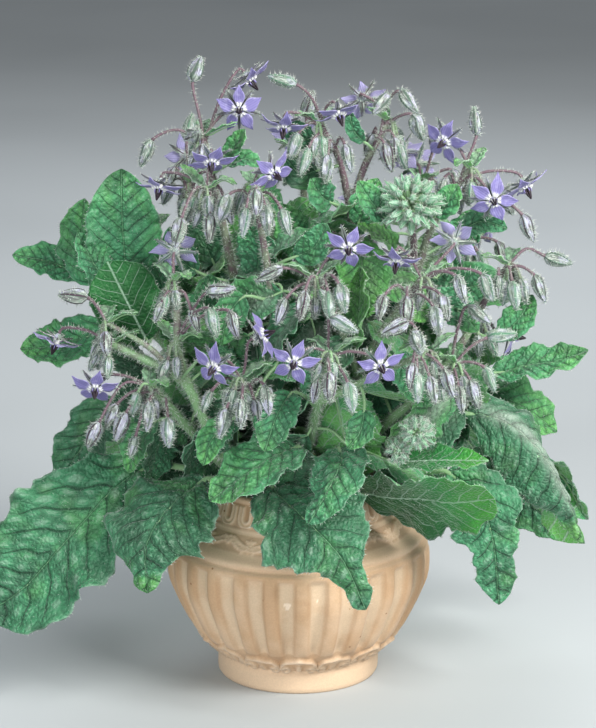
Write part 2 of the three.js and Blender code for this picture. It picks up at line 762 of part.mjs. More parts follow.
        buds: [[[-8, -12, 312], [-1, 0, 0.3], 6], [[3, -20, 272]], [[14, -18, 268]], [[25, -15, 273]]],
      },
    ],
    leaves: [
      {
        stalk: [[24, 1, 222], [28, -6, 232]],
        rib: [[30, -9, 238], [34, -11, 250], [40, -9, 262]],
        half: 8, facing: [0, -1, 0.1],
      },
      {
        stalk: [[22, 2, 205], [14, -6, 214]],
        rib: [[8, -10, 222], [-2, -14, 236], [-8, -14, 250]],
        half: 10, facing: [0, -1, 0.1],
      },
      {
        stalk: [[19, 3, 175], [30, -2, 186]],
        rib: [[36, -6, 194], [44, -12, 208], [44, -14, 224]],
        half: 10, facing: [0, -1, 0.1],
      },
      {
        stalk: [[17, 5, 152], [10, -4, 162]],
        rib: [[4, -10, 172], [0, -16, 188], [2, -18, 206]],
        half: 14, facing: [0, -1, 0.2],
      },
    ],
  },
  stem_top_left: {
    root: [-11, 3],
    shoots: [
      [3.2, 1.6, [[-22, 0, 150], [-33, -9, 215], [-40, -16, 252], [-47, -20, 286]]],
      [2, 1.4, [[-39, -15, 248], [-42, -28, 258], [-45, -42, 264]]],
    ],
    sprays: [
      {
        hub: [-47, -20, 286],
        blooms: [
          { at: [-29, -22, 299], facing: [0, -1, -0.1], roll: 18 },
          { at: [-24, -10, 312], facing: [0.5, -0.2, -0.6], arch: 6 },
        ],
        buds: [
          [[-50, -10, 318], [0.3, 0.1, 1], 0],
          [[-75, -22, 277], null, 9],
          [[-51, -24, 287], [0.3, -0.9, 0.4], 2],
        ],
      },
      {
        hub: [-45, -42, 264],
        blooms: [
          { at: [-42, -48, 278], facing: [0, -0.6, -0.7] },
          { at: [-68, -36, 263], facing: [-0.2, -0.4, -0.85], roll: 15 },
        ],
        buds: [[[-58, -60, 245], null, 8], [[-43, -54, 246]]],
      },
    ],
    leaves: [
      {
        stalk: [[-29, -6, 200], [-24, -14, 206]],
        rib: [[-22, -17, 212], [-20, -20, 228], [-26, -20, 244]],
        half: 11, facing: [0, -1, 0.1],
      },
      {
        stalk: [[-31, -8, 208], [-42, -14, 212]],
        rib: [[-50, -18, 216], [-60, -22, 226], [-64, -22, 240]],
        half: 9, facing: [0, -1, 0.2],
      },
      {
        stalk: [[-25, -2, 168], [-34, -10, 176]],
        rib: [[-40, -14, 184], [-46, -20, 200], [-44, -22, 216]],
        half: 12, facing: [0, -1, 0.2],
      },
    ],
  },
  stem_centre: {
    root: [-3, -6],
    shoots: [[3, 1.5, [[-8, -22, 150], [-14, -36, 215], [-22, -46, 266]]]],
    sprays: [
      {
        hub: [-22, -46, 266],
        blooms: [{ at: [-12, -56, 274], facing: [0.6, -0.7, -0.4] }],
        buds: [[[-26, -60, 250]], [[-15, -63, 252]], [[-36, -56, 256]]],
      },
    ],
    leaves: [
      {
        stalk: [[-13, -34, 205], [-20, -40, 208]],
        rib: [[-26, -44, 210], [-34, -52, 202], [-38, -56, 188]],
        half: 9, facing: [0, -0.9, 0.6],
      },
      {
        stalk: [[-9, -24, 165], [-20, -32, 168]],
        rib: [[-28, -38, 170], [-38, -44, 176], [-44, -46, 186]],
        half: 10, facing: [0, -0.9, 0.6],
      },
    ],
  },
  stem_rear_left: {
    root: [-19, 15],
    shoots: [
      [3.2, 1.6, [[-38, 28, 150], [-52, 40, 205], [-56, 44, 250]]],
      [2, 1.4, [[-50, 38, 195], [-76, 50, 222]]],
    ],
    sprays: [
      {
        hub: [-56, 44, 250],
        blooms: [{ at: [-58, 58, 260], facing: [-0.2, 0.9, -0.2] }],
        buds: [[[-46, 54, 238]], [[-68, 52, 242]], [[-56, 46, 278], [0.2, 0.3, 1], 0]],
      },
      {
        hub: [-76, 50, 222],
        blooms: [{ at: [-86, 58, 224], facing: [-0.5, 0.8, -0.3] }],
        buds: [[[-92, 42, 212]]],
      },
    ],
    leaves: [
      {
        stalk: [[-41, 30, 160], [-52, 26, 172]],
        rib: [[-60, 26, 180], [-76, 30, 190], [-90, 34, 186]],
        half: 13, facing: [-0.2, 0.2, 1],
      },
      {
        stalk: [[-45, 34, 178], [-46, 44, 188]],
        rib: [[-46, 52, 194], [-44, 68, 202], [-42, 80, 192]],
        half: 13, facing: [0, 0.4, 1],
      },
    ],
  },
  stem_rear_middle: {
    root: [0, 21],
    shoots: [
      [3.2, 1.6, [[2, 42, 150], [4, 56, 210], [2, 60, 262]]],
      [2, 1.4, [[3, 54, 195], [22, 70, 220], [26, 74, 228]]],
    ],
    sprays: [
      {
        hub: [2, 60, 262],
        blooms: [{ at: [-2, 74, 268], facing: [-0.2, 0.9, -0.2] }],
        buds: [[[14, 66, 250]], [[-12, 64, 248]], [[6, 58, 288], [0.2, 0, 1], 0]],
      },
      {
        hub: [26, 74, 228],
        blooms: [{ at: [34, 86, 232], facing: [0.4, 0.9, -0.2] }],
        buds: [[[38, 72, 214]], [[16, 84, 214]]],
      },
    ],
    leaves: [
      {
        stalk: [[2, 44, 158], [-8, 50, 168]],
        rib: [[-14, 56, 174], [-22, 72, 180], [-26, 86, 172]],
        half: 14, facing: [0, 0.4, 1],
      },
      {
        stalk: [[3, 47, 170], [14, 52, 178]],
        rib: [[20, 58, 182], [34, 74, 184], [42, 88, 174]],
        half: 14, facing: [0, 0.4, 1],
      },
    ],
  },
  stem_rear_right: {
    root: [18, 18],
    shoots: [
      [3.2, 1.6, [[40, 32, 150], [56, 42, 205], [64, 46, 250]]],
      [2, 1.4, [[52, 40, 190], [78, 48, 214], [84, 50, 220]]],
    ],
    sprays: [
      {
        hub: [64, 46, 250],
        blooms: [{ at: [62, 60, 256], facing: [0, 0.95, -0.2] }],
        buds: [[[76, 54, 238]], [[50, 48, 240]], [[72, 44, 274], [0.3, 0, 1], 0]],
      },
      {
        hub: [84, 50, 220],
        blooms: [{ at: [96, 58, 222], facing: [0.6, 0.7, -0.3] }],
        buds: [[[96, 42, 206]], [[88, 64, 204]]],
      },
    ],
    leaves: [
      {
        stalk: [[34, 28, 132], [66, 20, 140]],
        rib: [[90, 16, 143], [104, 14, 142], [118, 12, 137], [134, 12, 124]],
        half: 15, facing: [0, -0.6, 1], wave: 0.2,
      },
      {
        stalk: [[44, 35, 165], [56, 46, 174]],
        rib: [[62, 52, 178], [76, 64, 182], [86, 76, 172]],
        half: 13, facing: [0.2, 0.4, 1],
      },
      {
        stalk: [[56, 42, 205], [66, 34, 212]],
        rib: [[72, 32, 216], [84, 30, 224], [92, 30, 238]],
        half: 9, facing: [0, -1, 0.2],
      },
    ],
  },
  leafy_shoot_left: {
    root: [-24, 8],
    shoots: [[3.6, 2, [[-44, 6, 138], [-68, -2, 175], [-86, -8, 204]]]],
    sprays: [],
    leaves: [
      {
        stalk: [[-84, -7, 200]],
        rib: [[-86, -10, 208], [-87, -14, 226], [-88, -13, 248], [-88, -10, 267]],
        half: 19, facing: [0, -1, 0.1], cuts: 6,
      },
      {
        stalk: [[-84, -6, 199], [-96, 2, 200]],
        rib: [[-103, 6, 204], [-110, 8, 222], [-108, 9, 248]],
        half: 12, facing: [0, -1, 0.1], cuts: 6,
      },
      {
        stalk: [[-82, -6, 196], [-98, 6, 202]],
        rib: [[-108, 11, 206], [-127, 16, 214], [-146, 16, 217]],
        half: 9, facing: [0, -0.8, 0.6],
      },
      {
        stalk: [[-74, -5, 184], [-74, -22, 182]],
        rib: [[-75, -32, 184], [-83, -40, 203], [-94, -38, 226]],
        half: 12, facing: [0.1, -1, 0.1], cuts: 6,
      },
      {
        stalk: [[-66, -2, 172], [-82, -2, 184]],
        rib: [[-96, -4, 184], [-118, -5, 176], [-141, -6, 173]],
        half: 13, facing: [0, -0.7, 1], cuts: 6,
      },
      {
        stalk: [[-56, 3, 156], [-60, 16, 168]],
        rib: [[-64, 24, 172], [-80, 40, 176], [-96, 52, 168]],
        half: 13, facing: [-0.2, 0.2, 1],
      },
    ],
  },
};

// A dense round head of young buds, standing out of a small core.
const HEAD_CORE = 6.5;
const HEAD_RADIUS = 15.5;
const HEAD_BUDS = 11;
const GOLDEN_ANGLE = Math.PI * (3 - Math.sqrt(5));
function head({ at, look }) {
  const place = seat(at, look);
  const put = (p) => p.applyMatrix4(place).toArray();
  let body = solidOf(new THREE.IcosahedronGeometry(HEAD_CORE).applyMatrix4(place));
  for (let k = 0; k < HEAD_BUDS; k++) {
    const lift = 1 - (1.25 * (k + 0.5)) / HEAD_BUDS;
    const way = round(k * GOLDEN_ANGLE, Math.sqrt(1 - lift * lift), lift);
    const from = put(way.clone().multiplyScalar(0.55 * HEAD_CORE));
    const to = put(way.clone().multiplyScalar(HEAD_RADIUS));
    body = body.add(bar([from, to], [[0, 1.2], [0.55, 2.8], [1, 0]], 4));
  }
  return body;
}

// A shoot: a tapered bar with a ring every RING_STEP or so along it, and one where it leaves the soil.
const SHOOT_SIDES = 5;
const RING_STEP = 36;
function shoot([from, to, points], foot = []) {
  const way = [...foot, ...points];
  const length = lengthOf(way);
  const straight = foot.length > 0 ? lengthOf(foot) / length : 0;
  const rings = even(Math.max(2, Math.round(length / RING_STEP)), from, to);
  const radii = rings.map(([share, radius]) => [straight + (1 - straight) * share, radius]);
  if (straight > 0) radii.unshift([0, from]);
  return bar(way, radii, SHOOT_SIDES);
}

// The places that the stalks of a spray start from: one after another, back from the end of its shoot.
const PERCH_STEP = 3.4;
function perches(shoots, hub) {
  const own = shoots.find(([, , points]) => points.at(-1).every((value, i) => value === hub[i]));
  if (!own) return () => hub;
  const path = line(own[2], [1, 0, 0]);
  const length = lengthOf(own[2]);
  return (i) => path(1 - (1.2 + i * PERCH_STEP) / length).at.toArray();
}

// One flowering stem with all that grows from it, in one body.
function stem({ root, shoots, sprays, leaves, head: dense }) {
  const parts = shoots.map((spec, i) => shoot(spec, i === 0 ? footOf(root, 3) : []));
  for (const { hub, buds = [], blooms = [] } of sprays) {
    const perch = perches(shoots, hub);
    parts.push(...buds.map((row, i) => bud(perch(blooms.length + i), row)));
    parts.push(...blooms.map((bloom, i) => calyx(perch(i), bloom)));
  }
  parts.push(...leaves.map((spec) => stalked({ cuts: 4, ...spec })));
  if (dense) parts.push(head(dense));
  return wasm.Manifold.union(parts);
}

// ---------------------------------------------------------------- the whole
const plant = new THREE.Group();

function add(name, colour, body) {
  const made = body.getMesh();
  const geometry = new THREE.BufferGeometry();
  geometry.setAttribute("position", new THREE.BufferAttribute(made.vertProperties, 3));
  geometry.setIndex(new THREE.BufferAttribute(made.triVerts, 1));
  geometry.computeVertexNormals();
  const look = { color: COLOURS[colour], roughness: ROUGHNESS[colour], metalness: 0 };
  const mesh = new THREE.Mesh(geometry, new THREE.MeshStandardMaterial(look));
  mesh.name = name;
  plant.add(mesh);
}

add("pot", "clay", pot());
const holes = [];
for (const [name, spec] of Object.entries(CROWN_LEAVES)) {
  add(name, "leaf", rooted(spec));
  holes.push([spec.root, 2 * CROWN_STALK, 4]);
}
for (const [name, spec] of Object.entries(STEMS)) {
  add(name, "stem", stem(spec));
  holes.push([spec.root, spec.shoots[0][0], SHOOT_SIDES]);
  const blooms = spec.sprays.flatMap((spray) => spray.blooms ?? []);
  blooms.forEach((bloom, i) => {
    add(`bloom_${name.replace("stem_", "")}_${i + 1}`, "petal", corolla(bloom));
  });
}
add("soil", "soil", soil(holes));

export default plant;
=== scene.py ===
"""Borage in flower in a fluted clay pot: its looks, built around the fixed frame.

Sizes in the tables are in millimetres, in the frame's own axes: +Z up, the front along -Y.
"""

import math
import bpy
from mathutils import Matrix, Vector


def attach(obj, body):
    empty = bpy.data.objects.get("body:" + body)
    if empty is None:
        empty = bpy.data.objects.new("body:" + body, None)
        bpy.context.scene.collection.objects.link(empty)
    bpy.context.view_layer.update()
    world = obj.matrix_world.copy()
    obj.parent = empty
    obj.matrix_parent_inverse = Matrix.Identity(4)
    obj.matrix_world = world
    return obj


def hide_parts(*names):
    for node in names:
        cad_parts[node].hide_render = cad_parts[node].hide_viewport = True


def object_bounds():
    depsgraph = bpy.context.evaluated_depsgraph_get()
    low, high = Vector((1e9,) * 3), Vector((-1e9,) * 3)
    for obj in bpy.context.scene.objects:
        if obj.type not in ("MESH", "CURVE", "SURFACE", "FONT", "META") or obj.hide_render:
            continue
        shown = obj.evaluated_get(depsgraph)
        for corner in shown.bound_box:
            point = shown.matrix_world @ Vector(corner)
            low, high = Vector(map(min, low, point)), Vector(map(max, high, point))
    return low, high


bl_info = {
    "name": "Potted borage",
    "version": (1, 0, 0),
    "blender": (4, 5, 0),
    "location": "3D Viewport > Sidebar > Borage",
    "description": "Builds a borage plant in flower, in a fluted clay pot",
    "category": "Add Mesh",
}

import zlib

import bpy
import numpy as np
from mathutils import Vector

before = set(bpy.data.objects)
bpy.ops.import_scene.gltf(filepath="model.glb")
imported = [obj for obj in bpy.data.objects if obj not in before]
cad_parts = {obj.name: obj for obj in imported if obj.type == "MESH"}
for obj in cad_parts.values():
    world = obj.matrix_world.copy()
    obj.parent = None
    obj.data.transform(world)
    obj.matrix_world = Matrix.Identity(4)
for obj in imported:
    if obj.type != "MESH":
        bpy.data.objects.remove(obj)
CAD_BOX = [list(corner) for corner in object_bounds()]

MM = 0.001
SOIL_TOP = 94
ROOT_DEPTH = 9

# ---------------------------------------------------------------- layout, as in the part's source
UPWARD = (0, 0, 1)


def blade(half, facing, *points, bare=2, **spec):
    """A leaf: half its width, the way that it faces, and the points that it runs through. Its stalk
    goes through the first bare points, and its midrib through the rest."""
    return dict(half=half, facing=facing, stalk=points[:bare], rib=points[bare:], **spec)


# The broad leaves over the rim. tints says how light a leaf is at its base and its tip, from 0, old and
# dark, to 1, young and yellow green, and how much lighter its very tip is. A lighter tip is partly the
# young leaf's own colour and partly painted light that shines through the thin tip.
CROWN_LEAVES = {
    "leaf_left_wide": blade(27, (0.3, -0.5, 1), (-50, -22, 113), (-74, -32, 119), (-93, -43, 110),
        (-106, -50, 97), (-121, -55, 81), (-138, -56, 62), (-158, -53, 47), bare=1, root=(-32, -12),
        tip_facing=(-0.1, -1, 0.35), tints=(0.36, 0.4), cup=0.24, waves=4, shape=((0, 0.8, 0.8),
        (0.35, 1, 1.1), (0.6, 1.05, 1.3), (0.72, 1.1, 1.25), (0.85, 1.3, 1), (1, 1.3, 1))),
    "leaf_left_front": blade(23, (-0.2, -0.4, 1), (-36, -37, 111), (-46, -48, 117), (-58, -62, 113),
        (-69, -72, 103), (-75, -78, 91), (-74, -83, 69), bare=1, root=(-26, -24),
        tip_facing=(-0.4, -1, 0.2), tints=(0.22, 0.28, 0.45), cup=-0.2, shape=((0, 1, 1), (0.3, 1.15, 1.1),
        (0.6, 1.25, 1.15), (0.78, 1, 0.9), (0.88, 0.6, 0.7), (1, 0.9, 1))),
    "leaf_front": blade(24, (0, -0.5, 1), (-13, -48, 113), (-5, -68, 111), (10, -87, 102), (22, -96, 90),
        (33, -99, 66), bare=0, root=(-10, -33), tip_facing=(0, -1, 0.3), tints=(0.24, 0.34), cup=-0.1,
        ragged=1.5, shape=((0, 1, 1), (0.5, 1.15, 1.1), (0.66, 0.95, 0.85), (0.76, 0.45, 0.5),
        (0.86, 0.38, 0.45), (0.93, 0.8, 0.7), (1, 1, 1))),
    "leaf_right_flat": blade(22, (0, -1, 0.5), (30, -43, 108), (46, -58, 110), (60, -69, 113),
        (76, -78, 114), (96, -84, 118), bare=0, root=(18, -29), tints=(0.2, 0.74), cup=0.1, waves=2.5,
        ragged=0.7, pale=True, relief=0.4, shape=((0, 1, 1.2), (0.2, 1.05, 1.35), (0.5, 1.05, 1.3),
        (0.75, 1.25, 1.25), (0.9, 1.7, 1.6), (0.97, 2.6, 2.5), (1, 4, 4))),
    "leaf_right_hanging": blade(14, (0, -0.4, 1), (52, -28, 112), (74, -42, 119), (89, -51, 110),
        (97, -56, 89), (101, -54, 53), bare=1, root=(31, -16), tip_facing=(0, -1, 0.2), tints=(0.46, 0.46),
        cup=-0.1, ragged=1.7, shape=((0, 1.3, 1.4), (0.3, 1.4, 1.5), (0.5, 1.1, 1.2), (0.62, 0.8, 0.9),
        (0.8, 0.95, 1.05), (0.92, 1.15, 1), (1, 1.4, 1.2))),
    "leaf_right_folded": blade(21, (0.1, -0.5, 1), (52, -10, 124), (84, -16, 142), (104, -22, 140),
        (121, -27, 127), (135, -28, 104), (146, -26, 76), bare=1, root=(32, -6), tip_facing=(0.4, -1, 0.4),
        tints=(0.28, 0.36, 0.6), cup=-0.35, silver=0.4, shape=((0, 1, 1), (0.5, 1, 1.2), (0.68, 1.1, 1),
        (0.82, 1.35, 0.5), (0.92, 1.7, 0.6), (0.97, 2.6, 0.8), (1, 3, 1)), fold=((0, 0, 0), (0.3, 10, 10),
        (0.5, 55, 15), (0.7, 105, 15), (1, 120, 10))),
    "leaf_right_low": blade(17, (0.1, -0.6, 1), (50, 5, 113), (78, 5, 111), (96, 3, 106), (111, 1, 96),
        (124, 0, 85), (138, -1, 72), bare=1, root=(32, 5), tints=(0.24, 0.3)),
    "leaf_left_low": blade(14, (-0.1, -0.6, 1), (-54, 4, 121), (-84, 7, 137), (-100, 7, 133),
        (-112, 5, 118), (-125, 4, 95), bare=1, root=(-35, 1), tip_facing=(-0.3, -1, 0.4),
        tints=(0.22, 0.3)),
    "leaf_centre_light": blade(15, (0, -0.4, 1), (0, -42, 122), (0, -60, 137), (-12, -76, 138),
        (-27, -85, 130), (-43, -88, 118), bare=1, root=(-3, -27), tip_facing=(0, -0.8, 1),
        tints=(0.5, 0.68), wave=0.2),
    "leaf_centre_dark": blade(14, (0.2, -0.4, 1), (15, -44, 120), (20, -60, 136), (21, -80, 136),
        (15, -94, 127), (5, -101, 110), bare=1, root=(7, -30), tip_facing=(-0.2, -1, 0.5),
        tints=(0.34, 0.46), wave=0.15, fold=((0, 0, 0), (0.4, 0, 20), (0.7, 0, 60), (1, 0, 40))),
    "leaf_rear_left": blade(25, UPWARD, (-42, 50, 116), (-62, 70, 114), (-82, 90, 102), (-96, 104, 80),
        (-104, 114, 54), bare=0, root=(-21, 27), tip_facing=(-0.4, 0.8, 0.6), tints=(0.36, 0.42)),
    "leaf_rear_middle": blade(25, UPWARD, (6, 54, 112), (8, 76, 115), (9, 96, 104), (10, 110, 82),
        (8, 117, 54), bare=0, root=(4, 35), tip_facing=(0, 0.9, 0.5), tints=(0.3, 0.4)),
    "leaf_rear_right": blade(24, UPWARD, (48, 48, 116), (69, 69, 116), (88, 88, 104), (101, 101, 84),
        (108, 111, 58), bare=0, root=(25, 25), tip_facing=(0.5, 0.7, 0.5), tints=(0.4, 0.46)),
    "leaf_right_side": blade(18, UPWARD, (54, 27, 112), (80, 38, 121), (102, 46, 118), (126, 52, 105),
        (144, 56, 86), (156, 58, 62), bare=1, root=(32, 16), tip_facing=(0.8, 0.2, 0.6), tints=(0.3, 0.52),
        silver=0.3, shape=((0, 1, 1), (0.5, 1.2, 0.9), (0.75, 1.3, 0.55), (1, 1.2, 0.6)), fold=((0, 0, 0),
        (0.3, 20, 0), (0.55, 85, 10), (1, 100, 10))),
}

# The stems: where each roots; its shoots, each with its radius at both ends and its points; its
# sprays, each with its hub, its blooms (middle, facing, roll and how high the stalk rises) and its
# buds (middle, way and how high the stalk rises); its leaves; single buds on the nearest hub; heads.
# Here tint is how light a leaf is at its base, and lighter how much more so it is at its tip: partly the
# young leaf's own colour, partly painted light shining through the thin tip.
STEMS = {}
STEMS["stem_left"] = dict(
    root=(-18, -12),
    shoots=[
        (3.1, 2, [(-29, -26, 114), (-41, -39, 131), (-48, -47, 150), (-57, -53, 169), (-93, -50, 188)]),
        (2.4, 1.6, [(-53, -51, 163), (-59, -55, 185), (-59, -58, 201), (-61, -55, 221)]),
        (1.6, 1.1, [(-62, -54, 174), (-72, -56, 186), (-95, -52, 199)])],
    sprays=[
        dict(hub=(-93, -50, 188), blooms=[((-120, -38, 185), (-0.35, -0.1, -0.9), 20)]),
        dict(hub=(-61, -55, 221), blooms=[((-60, -46, 234), (0.1, 0.8, 0.2), 0, -1)]),
        dict(hub=(-95, -52, 199), buds=[((-111, -45, 210), (-1, 0, 0.1), 2)]),
        dict(hub=(-60, -55, 190), buds=[((-37, -70, 219), (1, -0.2, 0.2), 2), ((-41, -76, 204),),
            ((-31, -76, 203),)])],
    leaves=[
        blade(6, UPWARD, (-58, -54, 170), (-52, -60, 178), (-48, -66, 184), (-40, -74, 189),
            (-30, -80, 186)),
        blade(12, (0, -1, 0.4), (-28, -25, 113), (-38, -26, 126), (-43, -28, 134), (-51, -36, 131),
            (-55, -41, 109), tint=0.3),
        blade(10, (0, -1, 0.5), (-22, -18, 104), (-28, -16, 114), (-34, -16, 119), (-43, -20, 119),
            (-51, -26, 106), tint=0.04)],
    single_buds=[(-50, -64, 202), (-68, -62, 206)])
STEMS["stem_left_low"] = dict(
    root=(-25, -2),
    shoots=[(3, 2, [(-42, -22, 121), (-58, -42, 146), (-73, -60, 169)])],
    sprays=[dict(hub=(-73, -60, 169), blooms=[((-100, -55, 166), (0, -0.75, -0.6), 10)],
        buds=[((-101, -60, 143), None, 12), ((-87, -66, 149),), ((-73, -76, 157),), ((-63, -80, 150),)])],
    leaves=[
        blade(8, (0, -0.6, 1), (-58, -42, 146), (-64, -45, 148), (-70, -47, 147), (-80, -52, 137),
            (-84, -54, 122)),
        blade(8, (0, -0.6, 1), (-50, -32, 134), (-58, -34, 140), (-68, -34, 143), (-80, -34, 138),
            (-88, -34, 127)),
        blade(14, (0, -1, 0.4), (-38, -17, 117), (-46, -20, 132), (-51, -24, 139), (-66, -34, 136),
            (-75, -40, 112), tint=0.24)],
    single_buds=[(-81, -70, 140), (-92, -58, 152)])
STEMS["stem_centre_low"] = dict(
    root=(-9, -18),
    shoots=[(2.8, 1.8, [(-15, -42, 127), (-22, -68, 158), (-28, -88, 180)])],
    sprays=[dict(hub=(-28, -88, 180), blooms=[((-40, -98, 188), (-0.4, -0.8, -0.4)), ((-17, -88, 201),
        (0.7, -0.1, 0.3), 0, 0)], buds=[((-36, -99, 160), None, 2), ((-27, -103, 166),),
        ((-15, -100, 172),)])],
    leaves=[blade(7, (-0.2, -0.8, 0.6), (-22, -68, 158), (-27, -72, 158), (-32, -76, 156), (-42, -84, 148),
        (-46, -88, 136))],
    single_buds=[(-44, -88, 168), (-20, -92, 164)])
STEMS["stem_front"] = dict(
    root=(2, -17),
    shoots=[
        (3, 1.8, [(5, -40, 130), (10, -68, 163), (15, -95, 195)]),
        (2, 1.4, [(10, -66, 161), (35, -80, 178), (63, -90, 194)])],
    sprays=[
        dict(hub=(15, -95, 195), blooms=[((-2, -108, 193), (-0.1, -0.95, -0.25)), ((39, -107, 191),
            (0.25, -0.9, -0.3), 25)], buds=[((22, -100, 209), (0.9, -0.2, -0.4), 3), ((15, -110, 181),),
            ((25, -110, 176),)]),
        dict(hub=(63, -90, 194), buds=[((46, -98, 207), (-0.9, -0.2, -0.4), 2), ((57, -103, 201),
            (0.2, -0.8, -0.5), 3), ((57, -103, 179),), ((72, -98, 180),)])],
    leaves=[
        blade(10, (-0.2, -0.5, 1), (9, -64, 158), (3, -70, 166), (-3, -78, 170), (-10, -92, 163),
            (-16, -98, 146), tip_facing=(0, -1, 0.4)),
        blade(7, (0, -1, 0.3), (30, -77, 174), (32, -80, 168), (32, -84, 163), (30, -90, 154),
            (24, -93, 146))],
    single_buds=[(54, -102, 184), (64, -104, 178), (8, -100, 176)],
    heads=[dict(at=(58, -82, 151), look=(0.1, -0.8, 0.5), radius=9, buds=18, size=0.42, hair=2.8),
        dict(at=(49, -80, 141), look=(-0.3, -0.8, 0.3), radius=7, buds=12, size=0.36, hair=2.8)])
STEMS["stem_right"] = dict(
    root=(20, -13),
    shoots=[
        (3.4, 1.6, [(36, -31, 132), (57, -50, 158), (77, -66, 182)]),
        (2.4, 1.4, [(57, -50, 158), (80, -46, 185), (95, -41, 212), (104, -42, 226)])],
    sprays=[
        dict(hub=(77, -66, 182), buds=[((100, -60, 194), (1, 0, 0.15), 2), ((88, -67, 206), (0.8, 0, -0.6),
            6), ((86, -75, 168),)]),
        dict(hub=(88, -43, 199), blooms=[((107, -30, 186), (0.95, -0.2, -0.1))]),
        dict(hub=(104, -42, 226), buds=[((129, -34, 226), (1, 0.1, -0.3), 6), ((106, -53, 212),),
            ((119, -46, 214),)])],
    leaves=[
        blade(10, (0, -0.8, 0.7), (40, -35, 137), (46, -50, 134), (50, -60, 131), (69, -75, 135),
            (93, -80, 136), tint=0.42, lighter=0.34, ragged=0.6, pale=True, relief=0.4),
        blade(8, (0, -1, 0.3), (85, -44, 193), (92, -46, 190), (98, -48, 190), (108, -46, 198),
            (116, -42, 210))],
    single_buds=[(79, -78, 166), (98, -52, 216), (94, -62, 172), (70, -80, 172)])
STEMS["stem_middle_right"] = dict(
    root=(12, -7),
    shoots=[
        (3, 1.6, [(22, -28, 142), (38, -52, 188), (60, -72, 226)]),
        (2, 1.4, [(30, -42, 168), (18, -62, 205), (8, -77, 228)])],
    sprays=[
        dict(hub=(60, -72, 226), blooms=[((47, -80, 236), (-0.1, -0.5, -0.85), 12), ((76, -54, 240),
            (0.1, 0.95, 0.1), 0, 0)], buds=[((78, -82, 222),), ((91, -78, 222), None, 7), ((52, -90, 213),),
            ((66, -93, 209),)]),
        dict(hub=(8, -77, 228), blooms=[((24, -84, 243), (0, -0.95, -0.3))], buds=[((2, -91, 216),),
            ((15, -92, 216),), ((-14, -80, 229), (-1, 0, -0.5), 3)])],
    leaves=[
        blade(10, (0, -0.8, 0.7), (38, -52, 188), (42, -58, 186), (46, -64, 184), (56, -72, 176),
            (62, -76, 162)),
        blade(10, (0, -0.8, 0.7), (26, -35, 155), (20, -44, 160), (12, -47, 168), (-2, -51, 174),
            (-18, -53, 172)),
        blade(9, (0, -0.8, 0.6), (46, -59, 203), (56, -56, 206), (62, -56, 210), (76, -58, 208),
            (88, -60, 196))],
    single_buds=[(21, -92, 220), (-8, -86, 212), (40, -86, 214), (70, -86, 214)])
STEMS["stem_top_right"] = dict(
    root=(24, 1),
    shoots=[
        (3.2, 1.6, [(38, -6, 145), (55, -18, 200), (68, -27, 245), (85, -32, 272)]),
        (2, 1.6, [(58, -20, 212), (57, -34, 236), (55, -42, 250)])],
    sprays=[dict(hub=(85, -32, 272), blooms=[((72, -27, 284), (-0.5, -0.75, -0.3), 0, 1), ((95, -48, 259),
        (0.1, -0.95, -0.15)), ((112, -30, 262), (0.4, -0.4, -0.8))], buds=[((87, -25, 294), (-0.1, 0, 1),
        0), ((113, -40, 243),), ((78, -34, 256),), ((104, -20, 252),)])],
    leaves=[
        blade(7, (0, -1, 0.2), (56, -38, 244), (48, -42, 246), (44, -44, 248), (36, -46, 258),
            (29, -46, 268)),
        blade(7, (-0.3, -1, 0.2), (57, -36, 240), (64, -42, 246), (67, -44, 250), (73, -46, 258),
            (78, -44, 266)),
        blade(10, (0, -0.8, 1), (42, -8, 155), (70, -6, 163), (98, -4, 160), (116, -2, 164), (132, -1, 166),
            (148, 0, 171), wave=0.22),
        blade(12, (0, -0.8, 0.8), (50, -14, 185), (64, -14, 196), (74, -14, 204), (92, -14, 208),
            (106, -14, 200)),
        blade(6.5, (0, -0.9, 0.4), (62, -23, 225), (72, -18, 230), (80, -12, 234), (92, -8, 240),
            (105, -8, 236))],
    single_buds=[(84, -24, 256), (92, -36, 254), (70, -40, 262)],
    heads=[dict(at=(55, -46, 256), look=(0, -0.6, 0.8))])
